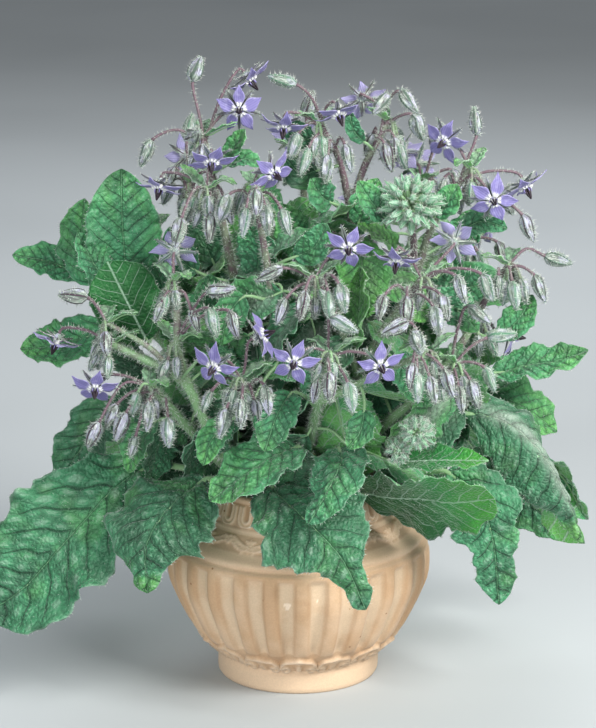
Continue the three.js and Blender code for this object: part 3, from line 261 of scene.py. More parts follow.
STEMS["stem_top_middle"] = dict(
    root=(10, 8),
    shoots=[
        (3.2, 1.6, [(17, 5, 150), (24, 2, 220), (32, 2, 262), (46, 2, 290)]),
        (2, 1.4, [(27, 2, 240), (20, -4, 272), (10, -10, 291)])],
    sprays=[
        dict(hub=(46, 2, 290), blooms=[((33, 8, 298), (0.3, 0.6, -0.6)), ((52, 14, 270),
            (0.2, 0.6, -0.75))], buds=[((41, -8, 299), (-0.5, -0.6, -0.5), 7), ((55, -6, 300),
            (0.6, -0.4, -0.7), 8), ((60, 0, 286),), ((45, -8, 272),)]),
        dict(hub=(10, -10, 291), blooms=[((20, -18, 296), (0.3, -0.5, -0.8), 8), ((-7, -25, 291),
            (-0.1, -0.5, -0.85))], buds=[((-8, -12, 312), (-1, 0, 0.3), 6), ((3, -20, 272),),
            ((14, -18, 268),), ((25, -15, 273),)])],
    leaves=[
        blade(8, (0, -1, 0.1), (24, 1, 222), (28, -6, 232), (30, -9, 238), (34, -11, 250), (40, -9, 262)),
        blade(10, (0, -1, 0.1), (22, 2, 205), (14, -6, 214), (8, -10, 222), (-2, -14, 236), (-8, -14, 250)),
        blade(10, (0, -1, 0.1), (19, 3, 175), (30, -2, 186), (36, -6, 194), (44, -12, 208), (44, -14, 224)),
        blade(14, (0, -1, 0.2), (17, 5, 152), (10, -4, 162), (4, -10, 172), (0, -16, 188), (2, -18, 206)),
        blade(7, (0, -1, 0.2), (17, -6, 278), (12, -8, 280), (8, -10, 281), (1, -12, 284), (-5, -12, 292),
            tint=0.3),
        blade(8, (0, -1, 0.1), (22, -3, 268), (14, -6, 266), (10, -8, 266), (2, -10, 264), (-6, -10, 272),
            tint=0.16),
        blade(4, (0, -1, 0.1), (38, 2, 274), (35, -4, 278), (33, -7, 280), (28, -11, 286), (25, -12, 297),
            tint=0.4),
        blade(8, (0, -1, 0.2), (26, 1, 244), (20, -8, 248), (17, -12, 250), (12, -18, 255), (6, -20, 264),
            tint=0.45)],
    single_buds=[(-2, -20, 280), (52, -6, 272), (36, 6, 276)])
STEMS["stem_top_left"] = dict(
    root=(-11, 3),
    shoots=[
        (3.2, 1.6, [(-22, 0, 150), (-33, -9, 215), (-40, -16, 252), (-47, -20, 286)]),
        (2, 1.4, [(-39, -15, 248), (-42, -28, 258), (-45, -42, 264)])],
    sprays=[
        dict(hub=(-47, -20, 286), blooms=[((-29, -22, 299), (0, -1, -0.1), 18), ((-24, -10, 312),
            (0.5, -0.2, -0.6), 0, 6)], buds=[((-50, -10, 318), (0.3, 0.1, 1), 0), ((-75, -22, 277), None,
            9), ((-51, -24, 287), (0.3, -0.9, 0.4), 2)]),
        dict(hub=(-45, -42, 264), blooms=[((-42, -48, 278), (0, -0.6, -0.7)), ((-68, -36, 263),
            (-0.2, -0.4, -0.85), 15)], buds=[((-58, -60, 245), None, 8), ((-43, -54, 246),)])],
    leaves=[
        blade(11, (0, -1, 0.1), (-29, -6, 200), (-24, -14, 206), (-22, -17, 212), (-20, -20, 228),
            (-26, -20, 244)),
        blade(9, (0, -1, 0.2), (-31, -8, 208), (-42, -14, 212), (-50, -18, 216), (-60, -22, 226),
            (-64, -22, 240)),
        blade(12, (0, -1, 0.2), (-25, -2, 168), (-34, -10, 176), (-40, -14, 184), (-46, -20, 200),
            (-44, -22, 216)),
        blade(5, (0, -0.8, 0.6), (-43, -18, 266), (-38, -24, 270), (-35, -26, 272), (-26, -28, 276),
            (-18, -28, 272)),
        blade(10, (0, -1, 0.2), (-33, -9, 212), (-38, -4, 214), (-42, -2, 216), (-47, 0, 228),
            (-48, 2, 242), tint=0.2),
        blade(5.5, (0, -1, 0.2), (-45, -19, 278), (-40, -22, 276), (-37, -24, 276), (-31, -26, 282),
            (-26, -26, 290))],
    single_buds=[(-54, -40, 250), (-34, -44, 252)])
STEMS["stem_centre"] = dict(
    root=(-3, -6),
    shoots=[(3, 1.5, [(-8, -22, 150), (-14, -36, 215), (-22, -46, 266)])],
    sprays=[dict(hub=(-22, -46, 266), blooms=[((-12, -56, 274), (0.6, -0.7, -0.4))],
        buds=[((-26, -60, 250),), ((-15, -63, 252),), ((-36, -56, 256),)])],
    leaves=[
        blade(9, (0, -0.9, 0.6), (-13, -34, 205), (-20, -40, 208), (-26, -44, 210), (-34, -52, 202),
            (-38, -56, 188)),
        blade(10, (0, -0.9, 0.6), (-9, -24, 165), (-20, -32, 168), (-28, -38, 170), (-38, -44, 176),
            (-44, -46, 186)),
        blade(8, (0, -1, 0.3), (-15, -38, 222), (-6, -44, 228), (-2, -46, 230), (8, -50, 236),
            (14, -50, 248))],
    single_buds=[(-6, -58, 250), (-20, -70, 262)])
STEMS["stem_rear_left"] = dict(
    root=(-19, 15),
    shoots=[
        (3.2, 1.6, [(-38, 28, 150), (-52, 40, 205), (-56, 44, 250)]),
        (2, 1.4, [(-50, 38, 195), (-76, 50, 222)])],
    sprays=[
        dict(hub=(-56, 44, 250), blooms=[((-58, 58, 260), (-0.2, 0.9, -0.2))], buds=[((-46, 54, 238),),
            ((-68, 52, 242),), ((-56, 46, 278), (0.2, 0.3, 1), 0)]),
        dict(hub=(-76, 50, 222), blooms=[((-86, 58, 224), (-0.5, 0.8, -0.3))], buds=[((-92, 42, 212),)])],
    leaves=[
        blade(13, (-0.2, 0.2, 1), (-41, 30, 160), (-52, 26, 172), (-60, 26, 180), (-76, 30, 190),
            (-90, 34, 186)),
        blade(13, (0, 0.4, 1), (-45, 34, 178), (-46, 44, 188), (-46, 52, 194), (-44, 68, 202),
            (-42, 80, 192)),
        blade(10, (0, 1, 0.2), (-52, 40, 205), (-40, 42, 214), (-34, 44, 220), (-24, 46, 234),
            (-22, 46, 250))],
    single_buds=[(-44, 36, 250), (-60, 58, 240), (-78, 66, 206), (-66, 40, 252)])
STEMS["stem_rear_middle"] = dict(
    root=(0, 21),
    shoots=[
        (3.2, 1.6, [(2, 42, 150), (4, 56, 210), (2, 60, 262)]),
        (2, 1.4, [(3, 54, 195), (22, 70, 220), (26, 74, 228)])],
    sprays=[
        dict(hub=(2, 60, 262), blooms=[((-2, 74, 268), (-0.2, 0.9, -0.2))], buds=[((14, 66, 250),),
            ((-12, 64, 248),), ((6, 58, 288), (0.2, 0, 1), 0)]),
        dict(hub=(26, 74, 228), blooms=[((34, 86, 232), (0.4, 0.9, -0.2))], buds=[((38, 72, 214),),
            ((16, 84, 214),)])],
    leaves=[
        blade(14, (0, 0.4, 1), (2, 44, 158), (-8, 50, 168), (-14, 56, 174), (-22, 72, 180), (-26, 86, 172)),
        blade(14, (0, 0.4, 1), (3, 47, 170), (14, 52, 178), (20, 58, 182), (34, 74, 184), (42, 88, 174)),
        blade(9, (0, 1, 0.2), (4, 56, 212), (-6, 56, 222), (-10, 58, 228), (-18, 62, 238), (-20, 66, 250))],
    single_buds=[(2, 74, 246), (26, 88, 212), (10, 52, 256), (44, 82, 220)])
STEMS["stem_rear_right"] = dict(
    root=(18, 18),
    shoots=[
        (3.2, 1.6, [(40, 32, 150), (56, 42, 205), (64, 46, 250)]),
        (2, 1.4, [(52, 40, 190), (78, 48, 214), (84, 50, 220)])],
    sprays=[
        dict(hub=(64, 46, 250), blooms=[((62, 60, 256), (0, 0.95, -0.2))], buds=[((76, 54, 238),),
            ((50, 48, 240),), ((72, 44, 274), (0.3, 0, 1), 0)]),
        dict(hub=(84, 50, 220), blooms=[((96, 58, 222), (0.6, 0.7, -0.3))], buds=[((96, 42, 206),),
            ((88, 64, 204),)])],
    leaves=[
        blade(15, (0, -0.6, 1), (34, 28, 132), (66, 20, 140), (90, 16, 143), (104, 14, 142), (118, 12, 137),
            (134, 12, 124), wave=0.2),
        blade(13, (0.2, 0.4, 1), (44, 35, 165), (56, 46, 174), (62, 52, 178), (76, 64, 182), (86, 76, 172)),
        blade(9, (0, -1, 0.2), (56, 42, 205), (66, 34, 212), (72, 32, 216), (84, 30, 224), (92, 30, 238))],
    single_buds=[(60, 60, 236), (82, 42, 250), (106, 40, 212), (70, 36, 240)])
STEMS["leafy_shoot_left"] = dict(
    root=(-24, 8),
    shoots=[(3.6, 2, [(-44, 6, 138), (-68, -2, 175), (-86, -8, 204)])],
    leaves=[
        blade(19, (0, -1, 0.1), (-84, -7, 200), (-86, -10, 208), (-87, -14, 226), (-88, -13, 248),
            (-88, -10, 267), bare=1, tint=0.5, ragged=0.4),
        blade(12, (0, -1, 0.1), (-84, -6, 199), (-96, 2, 200), (-103, 6, 204), (-110, 8, 222),
            (-108, 9, 248)),
        blade(9, (0, -0.8, 0.6), (-82, -6, 196), (-98, 6, 202), (-108, 11, 206), (-127, 16, 214),
            (-146, 16, 217)),
        blade(17, (0.1, -1, 0.3), (-74, -5, 184), (-74, -22, 182), (-75, -32, 184), (-83, -40, 203),
            (-94, -38, 226), tip_facing=(0.1, -1, 0.1), tint=0.2, cup=0.05, ragged=0.4, pale=True,
            relief=0.4, shape=((0, 0.9, 0.9), (0.5, 1, 1), (0.85, 1.3, 1.3), (1, 1.2, 1.2))),
        blade(13, (0, -0.7, 1), (-66, -2, 172), (-82, -2, 184), (-96, -4, 184), (-118, -5, 176),
            (-141, -6, 173)),
        blade(13, (-0.2, 0.2, 1), (-56, 3, 156), (-60, 16, 168), (-64, 24, 172), (-80, 40, 176),
            (-96, 52, 168)),
        blade(9, (0, -1, 0.2), (-80, -6, 192), (-90, -14, 196), (-94, -18, 206), (-102, -20, 222),
            (-110, -18, 236)),
        blade(10, (0.1, -1, 0.2), (-66, -2, 172), (-56, -10, 180), (-62, -12, 190), (-68, -16, 206),
            (-72, -16, 224)),
        blade(9, (0, -1, 0.5), (-60, 0, 162), (-70, 4, 162), (-78, 6, 162), (-90, 6, 166), (-100, 6, 172),
            tint=0.1),
        blade(14, (0, -1, 0.4), (-44, 6, 138), (-54, 4, 142), (-60, 4, 143), (-76, 4, 147), (-94, 2, 146),
            tint=0.06),
        blade(14, (0, -1, 0.4), (-34, 7, 122), (-40, 6, 128), (-46, 2, 129), (-62, -2, 130), (-80, -6, 124),
            tint=0.04),
        blade(13, (0, -1, 0.4), (-35, -2, 112), (-41, -4, 119), (-47, -6, 123), (-61, -12, 119),
            (-73, -18, 102), tint=0.04),
        blade(11, (0, -1, 0.2), (-45, 5, 140), (-48, 6, 182), (-50, 6, 190), (-58, 4, 204), (-64, 4, 218),
            tint=0.1)])

# ---------------------------------------------------------------- lines and forms


def unit(ways):
    """Each way cut to a length of 1."""
    return ways / np.maximum(np.linalg.norm(ways, axis=-1, keepdims=True), 1e-9)


def smooth(low, high, values):
    """0 below low, 1 above high, and an even turn between."""
    t = np.clip((np.asarray(values, float) - low) / (high - low), 0, 1)
    return t * t * (3 - 2 * t)


def bell(distance, wide):
    """1 at no distance, falling off to either side."""
    return np.exp(-((distance / wide) ** 2))


SKIN, UNDER, BARK, BRISTLE, SEPAL = range(5)  # finishes of leaves and stems, as in PLANT_FINISHES
PETAL, SCALE, ANTHER = range(3)  # finishes of a bloom, as in BLOOM_FINISHES
HAIR_WIDTH = 0.31  # real hairs are under 0.1 mm, too fine to show: drawn coarse enough to be seen
SUNK = 0.92  # the share of a bar's radius at which its bristles start
CURVE_SAMPLES = 48
DRAWN_IN = 4  # mm next to the frame's box where a piece that reaches too far is pressed together
KEPT_CLEAR = 0.02  # mm between that piece and the box


def inside_box(corners):
    """The corners of one piece, in mm, drawn in where they would stand out of the frame's box."""
    for sign, limits in ((-1, CAD_BOX[0]), (1, CAD_BOX[1])):
        for axis in range(3):
            limit = sign * limits[axis] / MM - KEPT_CLEAR
            values = corners[:, axis] * sign
            furthest = values.max()
            if furthest > limit:
                start = limit - DRAWN_IN
                squeeze = DRAWN_IN / (furthest - start)
                pressed = start + (values - start) * squeeze
                corners[:, axis] = sign * np.where(values > start, pressed, values)
    return corners


def run_through(points):
    """Close steps on a centripetal Catmull-Rom curve through points."""
    p = np.array(points, float)
    p = np.vstack([2 * p[0] - p[1], p, 2 * p[-1] - p[-2]])
    share = np.linspace(0, 1, CURVE_SAMPLES, endpoint=False)[:, None]
    steps = []
    for p0, p1, p2, p3 in zip(p, p[1:], p[2:], p[3:]):
        d0, d1, d2 = (math.sqrt(np.linalg.norm(b - a)) for a, b in ((p0, p1), (p1, p2), (p2, p3)))
        t1 = ((p1 - p0) / d0 - (p2 - p0) / (d0 + d1) + (p2 - p1) / d1) * d1
        t2 = ((p2 - p1) / d1 - (p3 - p1) / (d1 + d2) + (p3 - p2) / d2) * d1
        square = -3 * p1 + 3 * p2 - 2 * t1 - t2
        cube = 2 * p1 - 2 * p2 + t1 + t2
        steps.append(p1 + share * (t1 + share * (square + share * cube)))
    steps.append(p[-2][None])
    return np.vstack(steps)


def length_of(points):
    """The length of the curve through points."""
    return float(np.linalg.norm(np.diff(run_through(points), axis=0), axis=1).sum())


class Line:
    """A smooth line through points, with a side that looks up. That side is carried along without
    twist, or turns to a second facing."""

    STEPS = 80

    def __init__(self, points, facing=(1, 0, 0), tip_facing=None):
        close = run_through(points)
        gone = np.concatenate([[0], np.cumsum(np.linalg.norm(np.diff(close, axis=0), axis=1))])
        self.length = float(gone[-1])
        self.shares = np.linspace(0, 1, self.STEPS + 1)
        at = np.stack([np.interp(self.shares * gone[-1], gone, close[:, k]) for k in range(3)], 1)
        along = unit(np.vstack([at[1] - at[0], at[2:] - at[:-2], at[-1] - at[-2]]))
        facing = np.array(facing, float)
        up = facing
        ups = []
        for share, way in zip(self.shares, along):
            if tip_facing is not None:
                up = facing + (np.array(tip_facing, float) - facing) * share
            up = unit(up - way * (up @ way))
            ups.append(up)
        self.values = np.hstack([at, along, np.array(ups)])

    def __call__(self, share):
        """The point, the way along, the way up and the way to the side at each share of the length."""
        flat = np.clip(np.atleast_1d(share), 0, 1)
        mixed = np.stack([np.interp(flat, self.shares, column) for column in self.values.T], -1)
        along = unit(mixed[..., 3:6])
        up = unit(mixed[..., 6:9])
        return mixed[..., :3], along, up, np.cross(along, up)


class Form:
    """Gathers one piece: corners in mm, faces with the number of their finish, and what the finishes
    read at each corner. lay is a place on a flat blade."""

    MARKS = ("along", "across", "tint", "vein", "silver", "smooth")

    def __init__(self, name):
        self.rng = np.random.default_rng(zlib.crc32(name.encode()))
        self.name = name
        self.corners = []
        self.marks = []
        self.lays = []
        self.faces = {3: [], 4: []}
        self.finishes = {3: [], 4: []}
        self.count = 0

    def put(self, corners, lay=None, **marks):
        """Adds corners with their marks, and returns their numbers in the shape that they came in."""
        shape = corners.shape[:-1]
        total = int(np.prod(shape))
        rows = [np.broadcast_to(marks.get(mark, 0.0), shape).reshape(total) for mark in self.MARKS]
        self.corners.append(corners.reshape(total, 3))
        self.marks.append(np.stack(rows, 1))
        self.lays.append(np.zeros((total, 3)) if lay is None else lay.reshape(total, 3))
        numbers = np.arange(self.count, self.count + total).reshape(shape)
        self.count += total
        return numbers

    def face(self, rows, finish):
        """Adds faces of three or four corners each, all with one finish."""
        rows = np.asarray(rows)
        rows = rows.reshape(-1, rows.shape[-1])
        self.faces[rows.shape[1]].append(rows)
        self.finishes[rows.shape[1]].append(np.full(len(rows), finish))

    def skin(self, numbers, finish, closed=False, under=False):
        """The faces between neighbours in a grid of corners. closed joins the last column to the
        first; under turns the faces to look the other way."""
        if closed:
            numbers = np.hstack([numbers, numbers[:, :1]])
        a, b = numbers[:-1, :-1], numbers[:-1, 1:]
        d, c = numbers[1:, :-1], numbers[1:, 1:]
        self.face(np.stack([a, d, c, b] if under else [a, b, c, d], -1), finish)

    def fan(self, ring, tip, finish, under):
        """The faces from a ring of corners to one. under turns them to look the other way."""
        after = np.roll(ring, -1)
        if under:
            ring, after = after, ring
        self.face(np.stack([ring, after, np.full(len(ring), tip)], -1), finish)

    def made(self, materials, slot, node):
        """The finished object, which stands for a node of the frame and rides on its body."""
        if not self.corners:
            raise RuntimeError(f"nothing was built for {node}")
        mesh = bpy.data.meshes.new(self.name)
        corners = inside_box(np.concatenate(self.corners)) * MM
        mesh.vertices.add(len(corners))
        mesh.vertices.foreach_set("co", corners.astype(np.float32).ravel())
        rows = [np.concatenate(self.faces[n]) for n in (4, 3) if self.faces[n]]
        finishes = np.concatenate([np.concatenate(self.finishes[n]) for n in (4, 3) if self.faces[n]])
        sizes = np.concatenate([np.full(len(r), r.shape[1]) for r in rows])
        joined = np.concatenate([r.ravel() for r in rows])
        mesh.loops.add(len(joined))
        mesh.loops.foreach_set("vertex_index", joined.astype(np.int32))
        mesh.polygons.add(len(sizes))
        starts = np.concatenate([[0], np.cumsum(sizes)[:-1]])
        mesh.polygons.foreach_set("loop_start", starts.astype(np.int32))
        mesh.polygons.foreach_set("material_index", finishes.astype(np.int32))
        mesh.polygons.foreach_set("use_smooth", np.ones(len(sizes), bool))
        marks = np.concatenate(self.marks).astype(np.float32)
        for k, mark in enumerate(self.MARKS):
            mesh.attributes.new(mark, "FLOAT", "POINT").data.foreach_set("value", marks[:, k].copy())
        lay = mesh.attributes.new("lay", "FLOAT_VECTOR", "POINT")
        lay.data.foreach_set("vector", np.concatenate(self.lays).astype(np.float32).ravel())
        mesh.update(calc_edges=True)
        for material in materials:
            mesh.materials.append(material)
        piece = bpy.data.objects.new(self.name, mesh)
        bpy.context.scene.collection.objects.link(piece)
        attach(piece, "root")
        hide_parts(node)


def around(sides):
    """Even turns round a circle, without the last."""
    return np.linspace(0, 2 * np.pi, sides, endpoint=False)


def turned(start, other, turn):
    """The way that is turned from start towards other."""
    return start * np.cos(turn)[..., None] + other * np.sin(turn)[..., None]


def closed_skin(form, rings, finish, under=False, lay=None, **marks):
    """A closed skin through rings of corners, with its two ends filled in to their middles."""
    shape = rings.shape[:2]
    numbers = form.put(rings, lay=lay, **marks)
    form.skin(numbers, finish, closed=True, under=under)
    at_ends = {mark: np.broadcast_to(value, shape)[[0, -1], 0] for mark, value in marks.items()}
    ends = form.put(rings[[0, -1]].mean(1), **at_ends)
    form.fan(numbers[0], ends[0], finish, under=not under)
    form.fan(numbers[-1], ends[1], finish, under=under)


def plate(form, upper, lower, finish, back, marks, under=False, lay=None, back_marks=None):
    """A closed thin plate between two grids of corners. Its edges have the finish of its upper side."""
    front = form.put(upper, lay=lay, **marks)
    behind = form.put(lower, lay=lay, **{**marks, **(back_marks or {})})
    form.skin(front, finish, under=under)
    form.skin(behind, back, under=not under)
    form.skin(np.stack([front[:, 0], behind[:, 0]], 1), finish, under=not under)
    form.skin(np.stack([front[:, -1], behind[:, -1]], 1), finish, under=under)
    form.skin(np.stack([behind[0], front[0]], 0), finish, under=under)
    form.skin(np.stack([front[-1], behind[-1]], 0), finish, under=under)


def tube(form, line, shares, radii, sides, finish, drop=0, **marks):
    """A round bar along a line, closed at both ends. drop lowers it below the line."""
    at, _, up, side = line(shares)
    ring = turned(up[:, None], side[:, None], around(sides))
    middle = at - up * np.broadcast_to(drop, len(at))[:, None]
    marks = {mark: np.reshape(np.broadcast_to(value, len(at)), (-1, 1)) for mark, value in marks.items()}
    rings = middle[:, None] + ring * np.asarray(radii, float)[:, None, None]
    closed_skin(form, rings, finish, **marks)


def bristles(form, roots, ways, lengths, width=HAIR_WIDTH):
    """White bristles, each a thin three-sided spike that stands on its root."""
    ways = unit(ways)
    side = unit(np.cross(ways, (0.31, 0.52, 0.79)))
    other = np.cross(ways, side)
    ring = turned(side[:, None], other[:, None], around(3))
    base = form.put(roots[:, None] + ring * width / 2, tint=0.0)
    tips = form.put(roots + ways * np.reshape(np.broadcast_to(lengths, len(roots)), (-1, 1)), tint=1.0)
    for k in range(3):
        form.face(np.stack([base[:, k], base[:, (k + 1) % 3], tips], -1), BRISTLE)


def bristle_bar(form, line, span, radii, per_mm, length, width=HAIR_WIDTH, lean=0.05):
    """Bristles all round a bar between two shares of its line. radii are those of its two ends."""
    rng = form.rng
    count = int(per_mm * line.length * (span[1] - span[0]))
    if count < 1:
        return
    share = rng.uniform(*span, count)
    turn = rng.uniform(0, 2 * np.pi, count)
    at, along, up, side = line(share)
    out = turned(up, side, turn)
    reach = (radii[0] + (radii[1] - radii[0]) * share)[:, None] * SUNK
    ways = out + along * rng.normal(lean, 0.22, count)[:, None]
    ways = ways + side * rng.normal(0, 0.12, count)[:, None]
    lengths = length * rng.uniform(0.6, 1.15, count)
    bristles(form, at + out * reach, ways, lengths, width)


# ---------------------------------------------------------------- leaves
OVATE = 0.58
TAPER = 0.68
BLADE = 0.5  # thickness of a blade
NET_CELLS = 64  # cells each way before the net repeats
# What a leaf has where its table doesn't say otherwise.
USUAL_LEAF = dict(cup=0.15, wave=0.14, waves=3, ragged=1.0, silver=0.0, pale=False,
                  shape=((0, 1, 1), (1, 1, 1)), fold=((0, 0, 0), (1, 0, 0)))


def outline(u):
    """Half width along a blade, as a share of the widest, from its base to its tip."""
    widest = OVATE / (OVATE + TAPER)
    return u**OVATE * (1 - u) ** TAPER / (widest**OVATE * (1 - widest) ** TAPER)


def wavelets(values, rng, counts):
    """A sum of sine waves, counts of them over 0 to 1, each with its own start."""
    total = np.zeros_like(values)
    for count in counts:
        total += np.sin(2 * np.pi * (count * values + rng.random())) / len(counts)
    return total


def net(x, y, cell, rng):
    """How far each place is from the edges of irregular cells about as wide as cell."""
    jitter = 0.12 + 0.76 * rng.random((2, NET_CELLS, NET_CELLS))
    px, py = x / cell, y / cell
    ix, iy = np.floor(px).astype(int), np.floor(py).astype(int)
    nearest = np.full(px.shape, 9.0)
    second = nearest.copy()
    for dx in (-1, 0, 1):
        for dy in (-1, 0, 1):
            cx, cy = ix + dx, iy + dy
            off = jitter[:, cx % NET_CELLS, cy % NET_CELLS]
            far = np.hypot(cx + off[0] - px, cy + off[1] - py)
            second = np.minimum(second, np.maximum(nearest, far))
            nearest = np.minimum(nearest, far)
    return (second - nearest) * cell / 2


def left_and_right(rows, u, right):
    """A value along the blade, from rows of a place, the left half's value and the right half's."""
    rows = np.array(rows, float)
    return np.where(right, np.interp(u, rows[:, 0], rows[:, 2]), np.interp(u, rows[:, 0], rows[:, 1]))


def leaf(form, spec, tints, stem, foot=(), fine=1.75, across=30, relief=1.0, hairy=1.0):
    """One leaf: a stalk that runs on under the blade as its midrib, and a blade with sunken veins, a
    quilted face between them and a waved, toothed edge. shape widens or narrows its left and right half
    along the blade, fold turns each half down by degrees, and silver paints a frosty highlight along the
    ridge."""
    rng = form.rng
    spec = {**USUAL_LEAF, **spec}
    relief = spec.get("relief", relief)
    whole = [*foot, *spec.get("stalk", []), *spec["rib"]]
    length = length_of(whole)
    bare = 1 - length_of(spec["rib"]) / length
    line = Line(whole, spec["facing"], spec.get("tip_facing"))
    blade_length = (1 - bare) * length
    rows = max(12, round(blade_length / fine))
    u = np.linspace(0, 1, rows + 1)[:, None]
    v = np.linspace(-1, 1, across + 1)[None, :]
    side_of = v > 0
    shaped = left_and_right(spec["shape"], u, side_of)
    half = spec["half"] * outline(u)
    lobes = np.where(side_of, wavelets(u, rng, (3, 5.5)), wavelets(u, rng, (3.6, 5)))
    teeth = np.where(side_of, wavelets(u, rng, (9, 13, 17)), wavelets(u, rng, (10, 12, 18)))
    ragged = spec["ragged"] * (0.11 * lobes + 0.055 * teeth) * np.abs(v) ** 3 * smooth(0, 0.1, u)
    reach = np.maximum(half * shaped * (1 + ragged), 0.35)
    x = v * reach
    y = u * blade_length + 0 * v

    # Side veins leave the rib in turn and bend towards the tip.
    spacing = max(4.5, blade_length / 8)
    rank = (y - 0.82 * np.abs(x) - 0.007 * x * x) / spacing + np.where(side_of, 0.5, 0)
    rank = rank + 0.07 * np.sin(x / 3.1 + 5 * u) + 0.05 * np.sin(x / 1.7 - 9 * u)
    off_vein = np.abs(rank - np.round(rank)) * spacing * 0.85
    cell = 0.36 * spacing + 1.9
    off_net = net(np.abs(x) * 0.9 + np.where(side_of, 190, 30), y - 0.6 * np.abs(x) + 60, cell, rng)
    sink = max(1.0, 0.65 * fine)
    rib = bell(x, sink + 0.2) * (1 - u) ** 0.4
    vein = bell(off_vein, sink) * (1 - np.abs(v) ** 4)
    quilt = 1 - bell(off_net, 0.3 * cell)
    body = relief * smooth(0, 7, half) * (1 - 0.5 * np.abs(v) ** 5)
    height = body * (1.5 * quilt - 1.3 * vein - 1.6 * rib)

    ripple = spec["wave"] * half * np.sin(2 * np.pi * (spec["waves"] * u + 0.2 * v + 0.1))
    frill = np.where(side_of, wavelets(u, rng, (7, 9.5)), wavelets(u, rng, (6.4, 10)))
    frill = 0.1 * half * frill * np.abs(v) ** 3
    at, along, up, side = (value[:, None] for value in line(bare + (1 - bare) * u[:, 0]))
    turn = np.radians(left_and_right(spec["fold"], u, side_of)) * smooth(0, 0.3, np.abs(v))
    cos, sin = np.cos(turn)[..., None], (np.sin(turn) * np.sign(v))[..., None]
    side, up = side * cos - up * sin, up * cos + side * sin
    middle = at + side * x[..., None] + up * (v * v * (spec["cup"] * half + ripple) + frill)[..., None]
    middle = middle + up * (BLADE / 2 - 0.2)
    top = middle + up * (height + BLADE / 2)[..., None]
    low = middle + up * (height - BLADE / 2)[..., None]
    # Lighter towards the tip: partly the young leaf's own colour, partly painted light that shines through
    # the thin tip.
    tint = tints[0] + (tints[1] - tints[0]) * smooth(0.35, 0.95, u)
    tint = tint + 0.06 * wavelets(y / 40 + v, rng, (1, 2))
    if len(tints) > 2:
        tint = tint + tints[2] * smooth(0.8, 0.93, u)
    # Painted highlight: silver lightens a band beside the midrib, less on the veins and fading before the
    # tip.
    silver = spec["silver"] * bell(x + 2, 4.5) * smooth(0.02, 0.2, u) * (1 - 0.5 * vein)
    silver = silver * (1 - 0.9 * smooth(0.7, 0.88, u))
    # Painted shade: this mark darkens the skin in the valleys along the side veins and the net of the
    # quilting, and leaves the tops of the cells lighter. A pale leaf gets it turned negative, which only
    # lightens the cell tops.
    valley_shade = np.maximum(vein, 0.75 * bell(off_net, 0.16 * cell))
    lay = np.stack([x * MM, y * MM, rank], -1)
    marks = dict(along=u, across=np.abs(v), tint=tint, vein=-valley_shade if spec["pale"] else valley_shade,
                 silver=silver, smooth=float(spec["pale"]))
    plate(form, top, low, SKIN, UNDER, lay=lay, marks=marks)

    # The stalk, and the rib that it becomes.
    shares = np.concatenate([np.linspace(0, bare, max(4, round(bare * length / 4)), endpoint=False),
                             np.linspace(bare, bare + 0.93 * (1 - bare), max(7, rows // 4))])
    ribbed = np.clip((shares - bare) / (1 - bare), 0, 1)
    radii = np.where(shares < bare, stem, 0.25 + (stem * 0.86 - 0.25) * (1 - ribbed) ** 1.4)
    drop = (radii + 0.35 + 1.1 * relief) * smooth(0, 0.08, ribbed)
    tube(form, line, shares, radii, 8 if foot else 6, BARK, drop=drop, along=shares, tint=0.02, vein=ribbed)
    low_share = 0.5 * len(foot) * ROOT_DEPTH / length
    bristle_bar(form, line, (low_share, bare), (stem, stem), 2 * stem * hairy, 2, 0.26, lean=0.15)

    # Bristles along both edges, and fewer short ones on the face.
    for column, way in ((0, -1), (-1, 1)):
        count = int(0.8 * blade_length * hairy)
        pick = rng.integers(1, rows, count)
        out = side[pick, column] * way + up[pick, column] * rng.normal(0.2, 0.4, count)[:, None]
        out = out + along[pick, 0] * rng.normal(0.2, 0.4, count)[:, None]
        bristles(form, middle[pick, column], out, 1.5 * rng.uniform(0.5, 1.1, count))
    count = int(0.045 * blade_length * spec["half"] * hairy)
    picks = rng.integers(1, rows, count), rng.integers(1, across, count)
    out = up[picks] + rng.normal(0, 0.5, (count, 3))
    bristles(form, top[picks], out, 1.1 * rng.uniform(0.5, 1.1, count), 0.22)


def foot_of(root, rise):
    """The straight start of a stem or stalk, in its hole in the soil and a little above it."""
    return [(*root, SOIL_TOP + up) for up in (-ROOT_DEPTH, 0, rise)]


# ---------------------------------------------------------------- flowers and buds
FIFTH = 2 * math.pi / 5
TUBE_END = -1.6
GAP = 0.35
CALYX_TOP = TUBE_END - GAP
PEDICEL = 0.8
STREAK = 0.12  # a silky streak is drawn out to about eight times its width


class Seat:
    """A frame at a point that looks along facing, turned about that by roll."""

    def __init__(self, at, facing, roll=0.0):
        self.at = np.array(at, float)
        self.z = unit(np.array(facing, float))
        away = (0, 1, 0) if abs(self.z[2]) > 0.9 else (0, 0, 1)
        x = unit(np.cross(away, self.z))
        y = np.cross(self.z, x)
        turn = math.radians(roll)
        self.x = x * math.cos(turn) + y * math.sin(turn)
        self.y = y * math.cos(turn) - x * math.sin(turn)

    def __call__(self, x, y, z):
        """Points given across, up and out of the flower, in the row's frame."""
        x, y, z = np.broadcast_arrays(x, y, z)
        return self.at + x[..., None] * self.x + y[..., None] * self.y + z[..., None] * self.z

    def toward(self, turn, out, aside, z):
        """Points given out from the flower's axis towards turn, to the side of that and along it."""
        cos, sin = math.cos(turn), math.sin(turn)
        return self(out * cos - aside * sin, out * sin + aside * cos, z)

    def polar(self, turn, radius, z):
        """Points given round, out from and along the flower's axis."""
        return self(radius * np.cos(turn), radius * np.sin(turn), z)


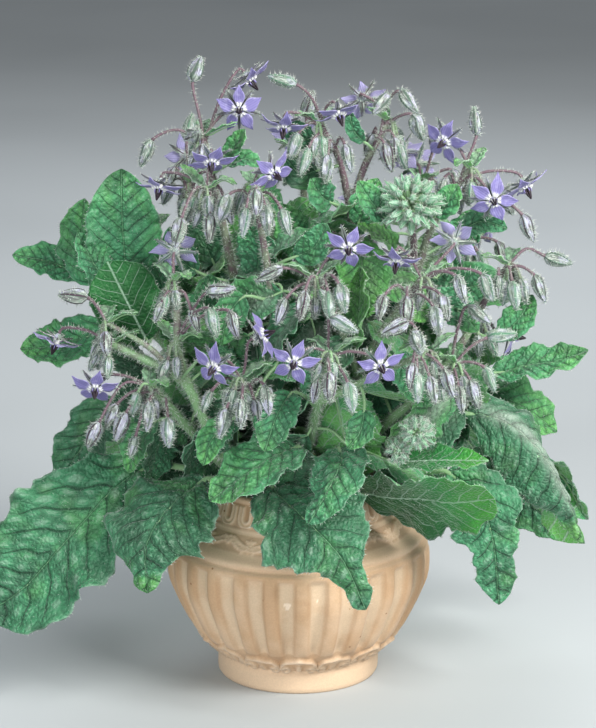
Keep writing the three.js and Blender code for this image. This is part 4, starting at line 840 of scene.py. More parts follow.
def pedicel(form, line, end, ripe=0.9):
    """The thin arched stalk of a flower or bud along a line, up to the share end. ripe is how purple
    the sun has made it."""
    shares = np.linspace(0, end, max(7, round(line.length * end / 1.9)))
    radii = np.interp(shares, [0, 0.4 * end, 0.94 * end, end], [PEDICEL * 0.85, PEDICEL, PEDICEL, 1.1])
    tube(form, line, shares, radii, 6, BARK, along=shares, tint=ripe + 0.1 * shares)
    bristle_bar(form, line, (0.02, end), (PEDICEL, PEDICEL), 2.8, 2.3)


BUD_SHARES = (0, 0.05, 0.16, 0.32, 0.46, 0.62, 0.78, 0.9, 0.97, 1)
BUD_PROFILE = (0.3, 0.62, 0.9, 1.0, 0.98, 0.84, 0.6, 0.35, 0.17, 0.03)


def bud_body(form, line, start, long, radius, tint, hairs, hair=2.5):
    """A closed bud: five hairy, keeled sepals that end in one point."""
    rng = form.rng
    t = np.linspace(0, 1, 9)[:, None] ** 0.9
    at, _, up, side = (value[:, None] for value in line(start + (1 - start) * t[:, 0]))
    turn = around(20)[None, :] + 0.35 * t + rng.random() * FIFTH
    lobe = np.abs(np.mod(turn - 0.35 * t, FIFTH) / FIFTH - 0.5) * 2
    seam = smooth(0.6, 1.0, lobe)
    spread = np.interp(t, BUD_SHARES, BUD_PROFILE)
    reach = radius * spread * (1 + 0.12 * np.cos(lobe * np.pi) - (0.06 + 0.14 * t) * seam)
    out = turned(up, side, turn)
    lay = np.stack([turn * radius * MM, STREAK * t * long * MM + 0 * turn, 0 * turn], -1)
    closed_skin(form, at + out * reach[..., None], SEPAL, lay=lay,
                along=t, across=lobe, tint=tint, vein=seam)
    s = rng.uniform(0.0, 0.98, hairs)
    angle = rng.uniform(0, 2 * np.pi, hairs)
    p, ahead, rise, beside = line(start + (1 - start) * s)
    away = turned(rise, beside, angle)
    reach = radius * np.interp(s, BUD_SHARES, BUD_PROFILE) * 0.93
    ways = away + ahead * rng.normal(0.2, 0.25, hairs)[:, None] + rng.normal(0, 0.15, (hairs, 3))
    bristles(form, p + away * reach[:, None], ways, hair * rng.uniform(0.45, 1.15, hairs))


def bud(form, hub, at, look=None, arch=5, size=1.0, ripe=0.9):
    """A bud on its arched, hairy stalk. at is its middle; it hangs, leaning away from hub, unless
    look gives its direction; arch is how high its stalk rises above the straight way."""
    plant = bpy.context.scene.borage_plant
    long = size * plant.bud_length / MM
    middle = np.array(at, float)
    hub = np.array(hub, float)
    out = middle - hub
    out[2] = 0
    way = unit(np.array(look, float) if look else np.array([*(0.45 * unit(out))[:2], -1]))
    neck, tip = middle - way * long / 2, middle + way * long / 2
    crest = (hub + neck) / 2 + (0, 0, arch)
    line = Line([hub, crest, neck, middle, tip])
    start = 1 - long / line.length
    pedicel(form, line, start + 0.01, ripe)
    bud_body(form, line, start, long, size * plant.bud_radius / MM * form.rng.uniform(0.85, 1.1),
             form.rng.uniform(0.1, 1.0) * min(1, ripe + 0.2), hairs=int(120 * size))


TASSEL_BUDS = 3
BUD_HANG = 8  # mm that a single bud hangs below its hub


def tassel(form, hub):
    """Young buds that hang close together from the end of a shoot, with narrow bracts above them."""
    rng = form.rng
    hub = np.array(hub, float)
    out = unit(np.array([hub[0], hub[1], 0.0]) + 1e-6)
    first = math.atan2(out[1], out[0])
    for k in range(TASSEL_BUDS):
        turn = first + (k - (TASSEL_BUDS - 1) / 2) * 1.25 + rng.uniform(-0.4, 0.4)
        way = np.array([math.cos(turn), math.sin(turn), 0])
        at = hub + way * rng.uniform(4.5, 8.5) - (0, 0, rng.uniform(9, 15))
        look = tuple(way * rng.uniform(0.25, 0.5) - (0, 0, 1))
        bud(form, hub, tuple(at), look, arch=2.5, size=rng.uniform(0.66, 0.9), ripe=rng.uniform(0.2, 0.65))
    for k in range(2):
        turn = first + (1.9 if k else -1.9) + rng.uniform(-0.5, 0.5)
        way = np.array([math.cos(turn), math.sin(turn), 0])
        long = rng.uniform(13, 20)
        rib = [hub + way * 1.5, hub + way * long * 0.55 + (0, 0, 5),
               hub + way * long + (0, 0, rng.uniform(2, 9))]
        spec = dict(half=3.6, facing=(-0.5 * way[0], -0.5 * way[1], 1), rib=rib, silver=0.3)
        leaf(form, spec, tints=(0.62, 0.8), fine=1.6, across=8, stem=0.5, relief=0.35)


def sepal(form, seat, turn, base, tip, low, high, wide, tint, edge_hairs=12):
    """One narrow, hairy sepal from radius base at height low to radius tip at height high."""
    rng = form.rng
    t = np.linspace(0, 1, 8)[:, None]
    v = np.linspace(-1, 1, 5)[None, :]
    half = wide / 2 * np.interp(t, (0, 0.2, 0.45, 0.75, 0.93, 1), (0.7, 0.95, 1, 0.62, 0.22, 0.03))
    r = base + (tip - base) * t
    z = low + (high - low) * t + 0.35 * np.sin(np.pi * t) + 0.3 * v * v * half
    x = v * half
    spots = seat.toward(turn, r, x, z)
    marks = dict(along=t, across=np.abs(v), tint=tint)
    lay = np.stack([x * MM, STREAK * t * (tip - base) * MM + 0 * x, 0 * x], -1)
    plate(form, spots, spots - seat.z * 0.35, SEPAL, SEPAL, under=True, lay=lay, marks=marks)
    cos, sin = math.cos(turn), math.sin(turn)
    for way in (-1, 1):
        s = rng.uniform(0.05, 0.98, edge_hairs)
        r = base + (tip - base) * s
        x = way * wide / 2 * np.interp(s, (0, 0.45, 1), (0.7, 0.9, 0.05))
        z = low + (high - low) * s + 0.2
        roots = seat.toward(turn, r, x, z)
        across = -seat.x * sin + seat.y * cos
        ways = across * way + (seat.x * cos + seat.y * sin) * 0.7 + rng.normal(0, 0.3, (edge_hairs, 3))
        bristles(form, roots, ways, rng.uniform(1.1, 2.2, edge_hairs))


def calyx(form, hub, at, facing, roll=0, arch=3):
    """The open calyx behind a flower, five sepals that show between its petals, and its stalk."""
    seat = Seat(at, facing, roll)
    hub = np.array(hub, float)
    neck = seat.at - 7 * seat.z
    crest = (hub + neck) / 2 + (0, 0, arch)
    line = Line([hub, crest, neck, seat.at - (2.9 + GAP) * seat.z], seat.x)
    pedicel(form, line, 0.99)
    cup = np.linspace(0, 1, 5)[:, None]
    turn = around(20)[None, :]
    radius = 0.9 + 1.5 * np.sin(cup * np.pi / 2)
    tint = form.rng.uniform(0.2, 0.8)
    closed_skin(form, seat.polar(turn, radius, -4.6 + 2.3 * cup), SEPAL, tint=tint, across=0.5, vein=0.3)
    for k in range(5):
        sepal(form, seat, (k + 0.5) * FIFTH, 1.2, 12, CALYX_TOP - 0.35, CALYX_TOP - 1.2, 2.4, tint)
    count = 40
    angle = form.rng.uniform(0, 2 * np.pi, count)
    roots = seat.polar(angle, 1.9, form.rng.uniform(-4.4, -2.4, count))
    ways = roots - seat.at - seat.z * ((roots - seat.at) @ seat.z)[:, None] - seat.z * 0.8
    bristles(form, roots, ways, form.rng.uniform(1.1, 2.2, count))


def corolla(form, radius, at, facing, roll=0):
    """Five pointed petals joined at their base, white scales round the throat and a dark cone of
    anthers in front."""
    rng = form.rng
    seat = Seat(at, facing, roll)
    t = np.linspace(0, 1, 13)[:, None]
    v = np.linspace(-1, 1, 7)[None, :]
    half = np.interp(t, (0, 0.1, 0.26, 0.38, 0.5, 0.64, 0.78, 0.9, 0.97, 1),
                     (0.95, 1.1, 2.3, 3.0, 3.15, 2.55, 1.5, 0.6, 0.25, 0.04))
    for k in range(5):
        turn = k * FIFTH
        droop, lift = rng.normal(0, 1.3), rng.uniform(0.2, 1.3)
        sway, twist = rng.normal(0, 1.2) * t * t, rng.normal(0, 0.22) * t
        r = 1.3 + (radius * rng.uniform(0.94, 1.06) - 1.3) * t
        x = v * half * rng.uniform(0.92, 1.16) + sway
        z = 1.1 - 0.9 * smooth(0, 0.32, t) - (1.5 + droop) * t**2
        z = z + lift * (np.abs(v) ** 1.5) * half * 0.28 * (1 - 0.6 * t)
        z = z - 0.22 * bell(v, 0.12) * (1 - t)
        z = z + 0.22 * np.sin(7 * t + 3 * v + turn * 5) * np.abs(v)
        z = z - rng.uniform(0, 1.4) * smooth(0.72, 1, t)
        z = z + twist * v * half
        spots = seat.toward(turn, r, x, z)
        marks = dict(along=t, across=np.abs(v), tint=0.0, vein=v * half / 4)
        plate(form, spots, spots - seat.z * 0.3, PETAL, PETAL, under=True, marks=marks,
              back_marks=dict(tint=1.0))
        throat_scale(form, seat, turn)
        anther(form, seat, turn + FIFTH / 2)
    tube_rows = np.array([[1.45, 1.0], [1.75, 0.4], [1.7, -0.7], [1.5, -1.3], [0.9, TUBE_END]])
    turn = around(15)[None, :]
    closed_skin(form, seat.polar(turn, tube_rows[:, :1], tube_rows[:, 1:]), SCALE, under=True, tint=0.3)


def throat_scale(form, seat, turn):
    """One white, two-lobed scale that stands at the base of a petal."""
    for way in (-1, 1):
        s = np.linspace(0.02, 0.98, 5)[:, None]
        swell = np.sin(np.pi * s) ** 0.6
        angle = around(6)[None, :]
        r = 1.7 + 2.3 * s
        x = way * (0.25 + 0.75 * s) + 0.5 * swell * np.cos(angle)
        z = 1.15 - 0.55 * s + 0.75 * np.sin(np.pi * s) * 0.6 + 0.42 * swell * np.sin(angle)
        closed_skin(form, seat.toward(turn, r, x, z), SCALE, along=s)


# Rings of an anther and of its horn: distance from the axis, height and half thickness.
ANTHER_ROWS = ((1.25, 1, 0.3), (1.35, 1.9, 0.5), (1.15, 3.2, 0.52), (0.75, 5, 0.4), (0.35, 6.5, 0.2),
               (0.2, 6.95, 0.05))
HORN_ROWS = ((1.6, 1, 0.28), (2.05, 1.9, 0.3), (2.1, 2.8, 0.2), (1.95, 3.5, 0.05))


def anther(form, seat, turn):
    """One dark anther of the cone, leaning on the others, with the violet horn behind it."""
    for rows, tint in ((ANTHER_ROWS, 0.0), (HORN_ROWS, 1.0)):
        rows = np.array(rows)
        angle = around(6)[None, :]
        radius, z, thick = (rows[:, k:k + 1] for k in range(3))
        r = radius + thick * np.cos(angle)
        x = thick * np.sin(angle)
        closed_skin(form, seat.toward(turn, r, x, z), ANTHER, tint=tint, along=z / 7)


GOLDEN_ANGLE = math.pi * (3 - math.sqrt(5))


def head(form, at, look, radius=17, buds=38, size=0.62, hair=1.8):
    """A dense round head of young, pale, hairy buds with narrow bracts between them."""
    rng = form.rng
    seat = Seat(at, look)
    for k in range(buds):
        lift = 1 - 1.3 * (k + 0.5) / buds
        turn = k * GOLDEN_ANGLE
        flat = math.sqrt(max(0, 1 - lift * lift))
        way = flat * math.cos(turn) * seat.x + flat * math.sin(turn) * seat.y + lift * seat.z
        grown = 0.55 + 0.45 * smooth(0.02, 0.45, k / buds)
        long = 14 * size * grown * rng.uniform(0.9, 1.1)
        tip = seat.at + way * radius * (0.72 + 0.28 * grown) * rng.uniform(0.95, 1.0)
        neck = tip - way * long
        line = Line([seat.at + way * 1.5, neck, neck + way * long / 2, tip])
        start = 1 - long / line.length
        tube(form, line, np.linspace(0, start, 3), np.full(3, 0.8), 6, BARK, tint=0.1)
        bud_body(form, line, start, long, 3.2 * size * (0.75 + 0.25 * grown), -0.7 + 0.4 * rng.random(),
                 hairs=int(110 * size * grown), hair=hair)
    for k in range(round(buds * 0.6)):
        turn = k * GOLDEN_ANGLE
        low, high = rng.uniform(-2, 1) * radius / 16, rng.uniform(-0.4, 0.45) * radius
        sepal(form, seat, turn, radius * 0.25, radius * rng.uniform(0.95, 1.15), low, high,
              0.2 * radius, -0.5, edge_hairs=16)


# ---------------------------------------------------------------- pot and soil
FLUTES = 26
FLUTE_COLUMNS = 16
FIRST_CHANNEL = math.radians(-95.1)
# The outside from the foot to the rim: radius, height.
OUTSIDE = [
    (40.6, 0), (41.5, 1.2), (41.7, 3), (41.7, 8.5), (41.4, 10), (40.7, 11.2), (40.6, 12.2), (41.6, 13.6),
    (43.7, 15.2), (46.2, 17.6), (48.9, 20.5), (51.6, 23.2), (54.1, 26.2), (56.9, 30.4), (59.3, 35),
    (61.6, 39.6), (63.5, 44.2), (65.1, 48), (66.3, 51.4), (67.2, 55.6), (67.5, 60), (67.5, 64.5),
    (67.2, 69), (67.1, 70.4), (66.5, 71.3), (65.4, 71.9), (64.5, 72.4), (64.3, 73), (64.8, 73.7),
    (64.7, 74.8), (63.8, 75.8), (62.4, 76.6), (60.6, 77.6), (58, 79.2), (55.2, 81.8), (53, 84.4),
    (51.2, 86.2), (50.6, 86.7), (50.4, 87.4), (50.1, 88.1), (49, 88.6), (48.6, 89.6), (47.8, 93),
    (46.6, 97), (45.9, 99.6), (45.9, 100.6), (46.4, 101.2), (46.5, 102), (46.1, 102.8), (45.1, 103),
]
POT_HEIGHT = OUTSIDE[-1][1]
INSIDE_STEP = 12
INSIDE = [(42.6, 103), (41.7, 102.4), (41.4, 101), (41.4, 90), (57, 70), (59.5, 58), (53.5, 36),
          (43.5, 22), (35.5, 9), (6, 9), (6, 0)]
LOOP_ZONE = (88.4, 99.8)
SWAG_ZONE = (78.4, 86)
BAND_ZONE = (11.8, 26.5)
# Where the clay is chipped: angle in degrees, height, size and depth.
POT_CHIPS = ((-94.9, 55, 1.7, 0.7), (-68, 80, 0.9, 0.5), (-81, 58, 0.6, 0.4), (35, 48, 1.5, 0.6),
             (120, 66, 1.2, 0.5))


def outer_step(level):
    """How far apart the rings of the outside are: close in the ornament and wider in the flutes."""
    if any(low < level < high for low, high in (LOOP_ZONE, SWAG_ZONE, BAND_ZONE)):
        return 0.66
    return 2.6 if BAND_ZONE[1] - 0.5 < level < 66 else 1.6


def stepped(points, step_at):
    """The same bent line with points step_at a level mm apart, keeping its corners."""
    rows = []
    for a, b in zip(points, points[1:]):
        a, b = np.array(a, float), np.array(b, float)
        count = max(1, round(np.linalg.norm(b - a) / step_at((a[1] + b[1]) / 2)))
        rows.extend(a + (b - a) * k / count for k in range(count))
    rows.append(np.array(points[-1], float))
    return np.array(rows)


def frond(x, y, foot, way, long, wide, high):
    """A pressed leaf with a grooved middle that starts at foot and points way, in degrees."""
    cos, sin = math.cos(math.radians(way)), math.sin(math.radians(way))
    s = ((x - foot[0]) * cos + (y - foot[1]) * sin) / long
    w = ((y - foot[1]) * cos - (x - foot[0]) * sin) / wide
    half = np.sqrt(np.clip(4 * s * (1 - s), 0, 1)) * (1.15 - 0.3 * s)
    swell = np.clip(1 - (w / np.maximum(half, 0.02)) ** 2, 0, 1) * (half > 0.02)
    return high * np.sqrt(swell) * (1 - 0.45 * bell(w, 0.22)) * (0.6 + 0.4 * np.clip(s, 0, 1))


def rosette(x, y, middle, radius, high):
    """A small flower of five round petals with a bead in its middle."""
    far, turn = np.hypot(x - middle[0], y - middle[1]), np.arctan2(y - middle[1], x - middle[0])
    petals = high * (0.7 + 0.3 * np.cos(5 * turn)) * bell(far - radius * 0.62, radius * 0.32)
    return np.maximum(petals, high * bell(far, radius * 0.24))


def repeated(turn, count, radius, start):
    """Where each turn is in its repeat of a pattern: mm to the side of the repeat's middle."""
    pitch = 2 * np.pi / count
    return (np.mod((turn - start) / pitch + 0.5, 1) - 0.5) * pitch * radius


def loops(turn, z):
    """Raised double loops round the collar."""
    x = repeated(turn, FLUTES, 47.8, FIRST_CHANNEL)
    y = z - 93.4
    height = 0
    for radius, high in ((4.5, 1.5), (2.3, 1.5)):
        bowl = np.abs(np.hypot(x, np.minimum(y, 0)) - radius)
        height = np.maximum(height, high * bell(bowl, 0.85))
    return height * smooth(0, 0.8, z - LOOP_ZONE[0]) * smooth(0, 1.2, LOOP_ZONE[1] - z)


def swag(turn, z):
    """A garland of paired leaves under the band, hung between rosettes, with a fan over each bow."""
    x = repeated(turn, 13, 56, FIRST_CHANNEL + 0.12)
    y = (z - SWAG_ZONE[0]) * 1.25
    height = 0
    for way in (-1, 1):
        height = np.maximum(height, rosette(x, y, (way * 13.5, 6.2), 2.8, 1.7))
        for k in range(5):
            foot = way * (1.0 + 2.1 * k), 2.2 + 0.16 * (1.0 + 2.1 * k) ** 1.35
            slope = 14 + 5 * k
            for lean in (-30, 30):
                toward = slope + lean if way > 0 else 180 - slope - lean
                height = np.maximum(height, frond(x, y, foot, toward, 3.6, 1.05, 1.6))
    for lean in (50, 90, 130):
        height = np.maximum(height, frond(x, y, (0, 4.2), lean, 4.2, 1.1, 1.6))
    height = np.maximum(height, rosette(x, y, (0, 3.0), 2.1, 1.7))
    return height * smooth(0, 0.8, y) * smooth(0, 0.9, 9.4 - y)


def leaf_band(turn, z):
    """Curled leaves pressed along the foot of the flutes, with a thin raised edge on top, made bright by
    painted highlight, and scrolls in their hollows, uneven as a worn mould leaves them."""
    x = repeated(turn, 16, 45, FIRST_CHANNEL + 0.1) + 1.0 * np.sin(3 * turn + 0.8) + 0.6 * np.sin(5 * turn)
    y = z - 12.6 - 0.7 * np.sin(2 * turn + 1.1) - 0.5 * np.sin(7 * turn)
    reach = np.abs(x) / 8.8
    edge = 4.6 + 5.6 * np.sqrt(np.clip(1 - reach**2, 0, 1)) + 0.35 * np.cos(reach * 9)
    share = np.clip(y / edge, 0, 1)
    grooves = 0.66 + 0.34 * np.cos(9.5 * np.arctan2(x, y + 3.5))
    curl = 2.5 * (0.15 + 0.85 * share**1.8) * (grooves + (1 - grooves) * smooth(0.8, 1, share))
    curl = curl * (1 - smooth(edge - 0.3, edge + 1.1, y))
    height = curl
    for way in (-1, 1):
        for level, radius, high in ((3.2, 1.9, 2.2), (4.4, 0.7, 2.0)):
            scroll = np.abs(np.hypot(x - way * 6.2, y - level) - radius)
            height = np.maximum(height, high * bell(scroll, 0.6))
    height = np.maximum(height, frond(x, y, (0, 0.2), 90, 6.5, 1.5, 2.6))
    worn = 0.9 + 0.2 * np.sin(4 * turn + 2)
    return worn * height * smooth(0, 1.0, y) * smooth(0, 1.0, BAND_ZONE[1] - z)


def build_pot(form, sizes):
    """The fluted pot, closed all round, with a drain hole."""
    outer = stepped(OUTSIDE, outer_step)
    rows = np.vstack([outer, stepped(INSIDE, lambda _: INSIDE_STEP)])
    count = len(outer)
    turn = around(FLUTES * FLUTE_COLUMNS)[None, :]
    radius, z = rows[:, :1], rows[:, 1:]
    slope = np.gradient(outer, axis=0)
    out = unit(np.stack([slope[:, 1], -slope[:, 0]], 1))
    across = np.abs(repeated(turn, FLUTES, 1, FIRST_CHANNEL)) / (2 * math.pi / FLUTES)
    wide = np.interp(z, (20, 40, 69), (0.2, 0.27, 0.3))
    held = smooth(21.5, 27, z) * (1 - smooth(68.0, 69.2, z))
    bowl = np.clip(1 - (across / wide) ** 2, 0, 1)
    bowl = 0.45 * np.sqrt(bowl) + 0.55 * bowl
    crown = np.clip((across - wide) / (0.5 - wide), 0, 1)
    relief = held * (0.7 * np.sin(0.5 * np.pi * crown) ** 0.7 - sizes.flute_depth / MM * bowl)
    ornament = loops(turn, z) * (z > LOOP_ZONE[0]) * (z < LOOP_ZONE[1])
    ornament = np.maximum(ornament, swag(turn, z) * (z > SWAG_ZONE[0]) * (z < SWAG_ZONE[1] + 0.5))
    ornament = np.maximum(ornament, leaf_band(turn, z) * (z > BAND_ZONE[0]) * (z < BAND_ZONE[1]))
    chips = 0
    for angle, height, size, deep in POT_CHIPS:
        gone = (np.mod(turn - math.radians(angle) + np.pi, 2 * np.pi) - np.pi) * radius
        chips = chips + deep * np.exp(-((gone**2 + (z - height) ** 2) / size**2) ** 2)
    uneven = 0.16 * np.sin(3 * turn + 0.05 * z) + 0.1 * np.sin(8 * turn - 0.09 * z + 1)
    outside = (np.arange(len(rows)) < count)[:, None]
    lift = np.where(outside, relief + ornament - chips + uneven * (z > 1), 0)
    out = np.vstack([out, np.zeros((len(rows) - count, 2))])
    r = radius + lift * out[:, :1]
    height = np.maximum(z + lift * out[:, 1:], 0)
    corners = np.stack([r * np.cos(turn), r * np.sin(turn), height + 0 * turn], -1)
    # Painted shade: the low ground between raised ornament, the walls of the channels and the whole inside
    # are darkened towards the brown of the hollows.
    zones = ((z > LOOP_ZONE[0]) & (z < LOOP_ZONE[1])) | ((z > SWAG_ZONE[0]) & (z < SWAG_ZONE[1]))
    zones = zones | ((z > BAND_ZONE[0] + 0.5) & (z < BAND_ZONE[1] - 2))
    cavity = zones * (1 - smooth(0.05, 0.6, ornament))
    wall = held * bell(across - wide, 0.045)
    hollow_shade = np.maximum(np.where(z > 60, 0.85, 0.5) * cavity, 0.3 * wall)
    # Painted highlight: a thin pale line at the top of each channel.
    lip_highlight = 0.9 * bell(z - 69.3, 0.7) * (across < wide)
    # Painted light: the shoulder, which the leaves shade, is lightened wherever it has no ornament.
    shoulder = 0.9 * smooth(70, 71, z) * (1 - smooth(92, 94, z)) * (1 - smooth(0, 0.5, ornament))
    # tint is painted highlight on the pot: raised ornament paler the higher it stands, pale rib crowns, the
    # channel tops and the shoulder. Only chips, set below zero, get the real pale of fresh clay.
    marks = dict(along=z / POT_HEIGHT, across=smooth(0.15, 0.75, bowl) * held,
                 tint=np.clip(ornament * np.where(z > 60, 1, 0.6) - 0.9 * (chips > 0.2), -1, 3)
                 + 0.5 * held * smooth(0.45, 0.9, crown) + lip_highlight + shoulder,
                 vein=np.where(outside, hollow_shade, 1.0))
    numbers = form.put(corners, **marks)
    form.skin(numbers, 0, closed=True)
    form.skin(np.stack([numbers[-1], numbers[0]]), 0, closed=True)


SOIL_RINGS = 44
# The soil's side and underside, just inside the pot's wall: radius, height.
SOIL_SIDE = np.array([(40.7, 90), (56, 69), (57, 58), (36, 9.4), (0.3, 9.4)])


def build_soil(form):
    """Crumbly potting soil, a little heaped towards the middle, with a flat underside."""
    rings = np.concatenate([np.linspace(0.3, 40.6, SOIL_RINGS), SOIL_SIDE[:, 0]])[:, None]
    heap = SOIL_TOP + 1.3 * (1 - np.linspace(0, 1, SOIL_RINGS) ** 2)
    levels = np.concatenate([heap, SOIL_SIDE[:, 1]])[:, None]
    turn = around(150)[None, :]
    x, y = rings * np.cos(turn), rings * np.sin(turn)
    crumbs = 0.9 * (1 - bell(net(x + 200, y + 200, 4.2, form.rng), 0.8))
    crumbs = crumbs + 0.5 * (1 - bell(net(x + 300, y + 300, 1.9, form.rng), 0.35))
    surface = (np.arange(len(rings)) < SOIL_RINGS - 1)[:, None]
    z = levels + np.where(surface, crumbs - 0.7, 0) + 0 * turn
    closed_skin(form, np.stack([x, y, z], -1), 0, under=True, along=z / 100, tint=crumbs)


# ---------------------------------------------------------------- colours, sizes and finishes


def linear(hex_colour):
    """An sRGB hex colour as linear red, green and blue."""
    channels = [int(hex_colour[start:start + 2], 16) / 255 for start in (1, 3, 5)]
    return tuple(c / 12.92 if c <= 0.04045 else ((c + 0.055) / 1.055) ** 2.4 for c in channels)


def colour(name, description, hex_colour):
    """A colour that a user may change."""
    return bpy.props.FloatVectorProperty(name=name, description=description, default=linear(hex_colour),
                                         subtype="COLOR", size=3, min=0, max=1)


def size(name, description, mm):
    """A length that a user may change, given in mm."""
    return bpy.props.FloatProperty(name=name, description=description, default=mm * MM, min=0,
                                   subtype="DISTANCE", precision=4)


class BoragePotSettings(bpy.types.PropertyGroup):
    flute_depth: size("Flute depth", "How deep the channels are between the pot's ribs", 2.8)
    rib: colour("Ribs", "Fired clay on the ribs and the shoulder", "#C6A27E")
    channel: colour("Channels", "Pale bloom of lime in the channels", "#D5BC9E")
    # Also paints light: the shaded upper part of the pot is lightened towards this colour.
    foot: colour("Foot", "Clean clay on the foot", "#DCC0A1")
    # Also paints shade: the pot's hollows, channel walls and inside are darkened with this brown. In the
    # soil it colours the dry crumbs.
    recess: colour("Recesses", "Brown dirt in patches, and painted shade in the hollows", "#93683F")
    # Paints highlights on the pot: raised ornament, rib crowns, channel tops and the shaded shoulder. It
    # also gives chips the pale of fresh clay.
    highlight: colour("High spots", "Painted highlight on high spots, and pale chips", "#F2DEC6")
    soil: colour("Soil", "Damp potting soil", "#2B2019")


class BoragePlantSettings(bpy.types.PropertyGroup):
    bloom_radius: size("Bloom radius", "From a flower's middle to the tips of its petals", 12.6)
    bud_length: size("Bud length", "Length of a full bud", 15)
    bud_radius: size("Bud radius", "Half width of a full bud", 3.5)
    leaf_dark: colour("Old leaf", "Shaded, old leaves", "#0B3B24")
    leaf_mid: colour("Leaf", "Full-grown leaves", "#47A06E")
    # Also paints light that shines through thin tips.
    leaf_bright: colour("Young leaf", "Young leaves and thin tips", "#70C254")
    leaf_under: colour("Leaf underside", "Felted underside of a leaf", "#7FBF88")
    # Also paints highlights on the leaves: in frosty patches and on the tops of the quilted cells.
    frost: colour("Frost", "Felt of short hairs along the leaf's edge", "#C3DECB")
    stem_green: colour("Green stem", "Lower stems and stalks", "#86AE7E")
    stem_purple: colour("Purple stem", "Flower stalks in the sun", "#6B5660")
    sepal: colour("Sepal", "Hairy green of buds", "#84978A")
    sepal_dark: colour("Sepal seams", "Purple seams and midlines of buds", "#4A3846")
    petal: colour("Petal", "Violet blue of the open flower", "#8D86BE")
    petal_pale: colour("Pale petal", "Underside and base of the petals", "#C9C5E9")
    anther: colour("Anthers", "Nearly black cone of anthers", "#231823")
    young: colour("Young sepal", "Pale green of the youngest buds", "#86B68F")
    bristle: colour("Bristles", "White bristles", "#F8FAF5")


# Options that every node of a kind has here.
USUAL_OPTIONS = {
    "Math": {"operation": "MULTIPLY"},
    "MapRange": {"interpolation_type": "SMOOTHSTEP"},
    "Mix": {"data_type": "RGBA"},
}


def add_node(tree, kind, *inputs, out=0, stops=(), named=None, **options):
    """Adds a node with its options and gives back one of its outputs. inputs are links or plain values
    for the sockets that it shows, in their order; named gives others by name. stops are a ramp's."""
    made = tree.nodes.new(f"ShaderNode{kind}")
    for name, value in {**USUAL_OPTIONS.get(kind, {}), **options}.items():
        setattr(made, name, value)
    for k, (place, shade) in enumerate(stops):
        ramp = made.color_ramp.elements
        stop = ramp[k] if k < len(ramp) else ramp.new(place)
        stop.position = place
        stop.color = shade
    shown = [socket for socket in made.inputs if socket.enabled]
    sources = [*zip(shown, inputs)]
    sources += [(made.inputs[name], source) for name, source in (named or {}).items()]
    for socket, source in sources:
        if isinstance(source, bpy.types.NodeSocket):
            tree.links.new(source, socket)
        else:
            socket.default_value = source
    if isinstance(out, str):
        return made.outputs[out]
    given = [socket for socket in made.outputs if socket.enabled]
    return given[out] if given else None


class Finish:
    """A material in the making: the marks of the mesh that it reads, and where a spot is in the row's
    frame. Colours are given by their names in tints."""

    def __init__(self, name, tints, *marks):
        self.material = bpy.data.materials.new(name)
        self.material.use_nodes = True
        self.tree = self.material.node_tree
        self.tree.nodes.clear()
        self.tints = tints
        self.marks = [self.add("Attribute", attribute_name=mark, out="Fac") for mark in marks]
        self.spot = self.add("TexCoord", out="Object")

    def add(self, kind, *inputs, **more):
        """Adds a node to this material."""
        inputs = [self.tints[source] if isinstance(source, str) else source for source in inputs]
        return add_node(self.tree, kind, *inputs, **more)

    def blade(self):
        """Where a spot is on the flat blade."""
        return self.add("Attribute", attribute_name="lay", out="Vector")

    def coats(self, base, *coats):
        """One colour with coats over it, each a colour, its share and, if it isn't MIX, its blend."""
        for colour_above, share, *blend in coats:
            base = self.add("Mix", share, base, colour_above, blend_type=blend[0] if blend else "MIX")
        return base

    def done(self, shade, height=None, depth_mm=0.2, strength=0.6, glow=0, **shader_values):
        """The finished material. height makes its bump, and glow is the share of light that comes
        through a thin part."""
        values = {socket.replace("_", " "): value for socket, value in shader_values.items()}
        if height is not None:
            bump = {"Strength": strength, "Distance": depth_mm * MM, "Height": height}
            values["Normal"] = self.add("Bump", named=bump)
        surface = self.add("BsdfPrincipled", shade, named=values)
        if glow:
            surface = self.add("MixShader", glow, surface, self.add("BsdfTranslucent", shade))
        self.add("OutputMaterial", surface)
        return self.material


def patches(mm):
    """The scale of a pattern whose patches are about mm wide."""
    return 1 / (mm * MM)


def colours(group):
    """The colours of a settings group with full alpha, by name."""
    return {name: (*getattr(group, name), 1) for name in group.bl_rna.properties.keys()
            if getattr(group.bl_rna.properties[name], "subtype", "") == "COLOR"}


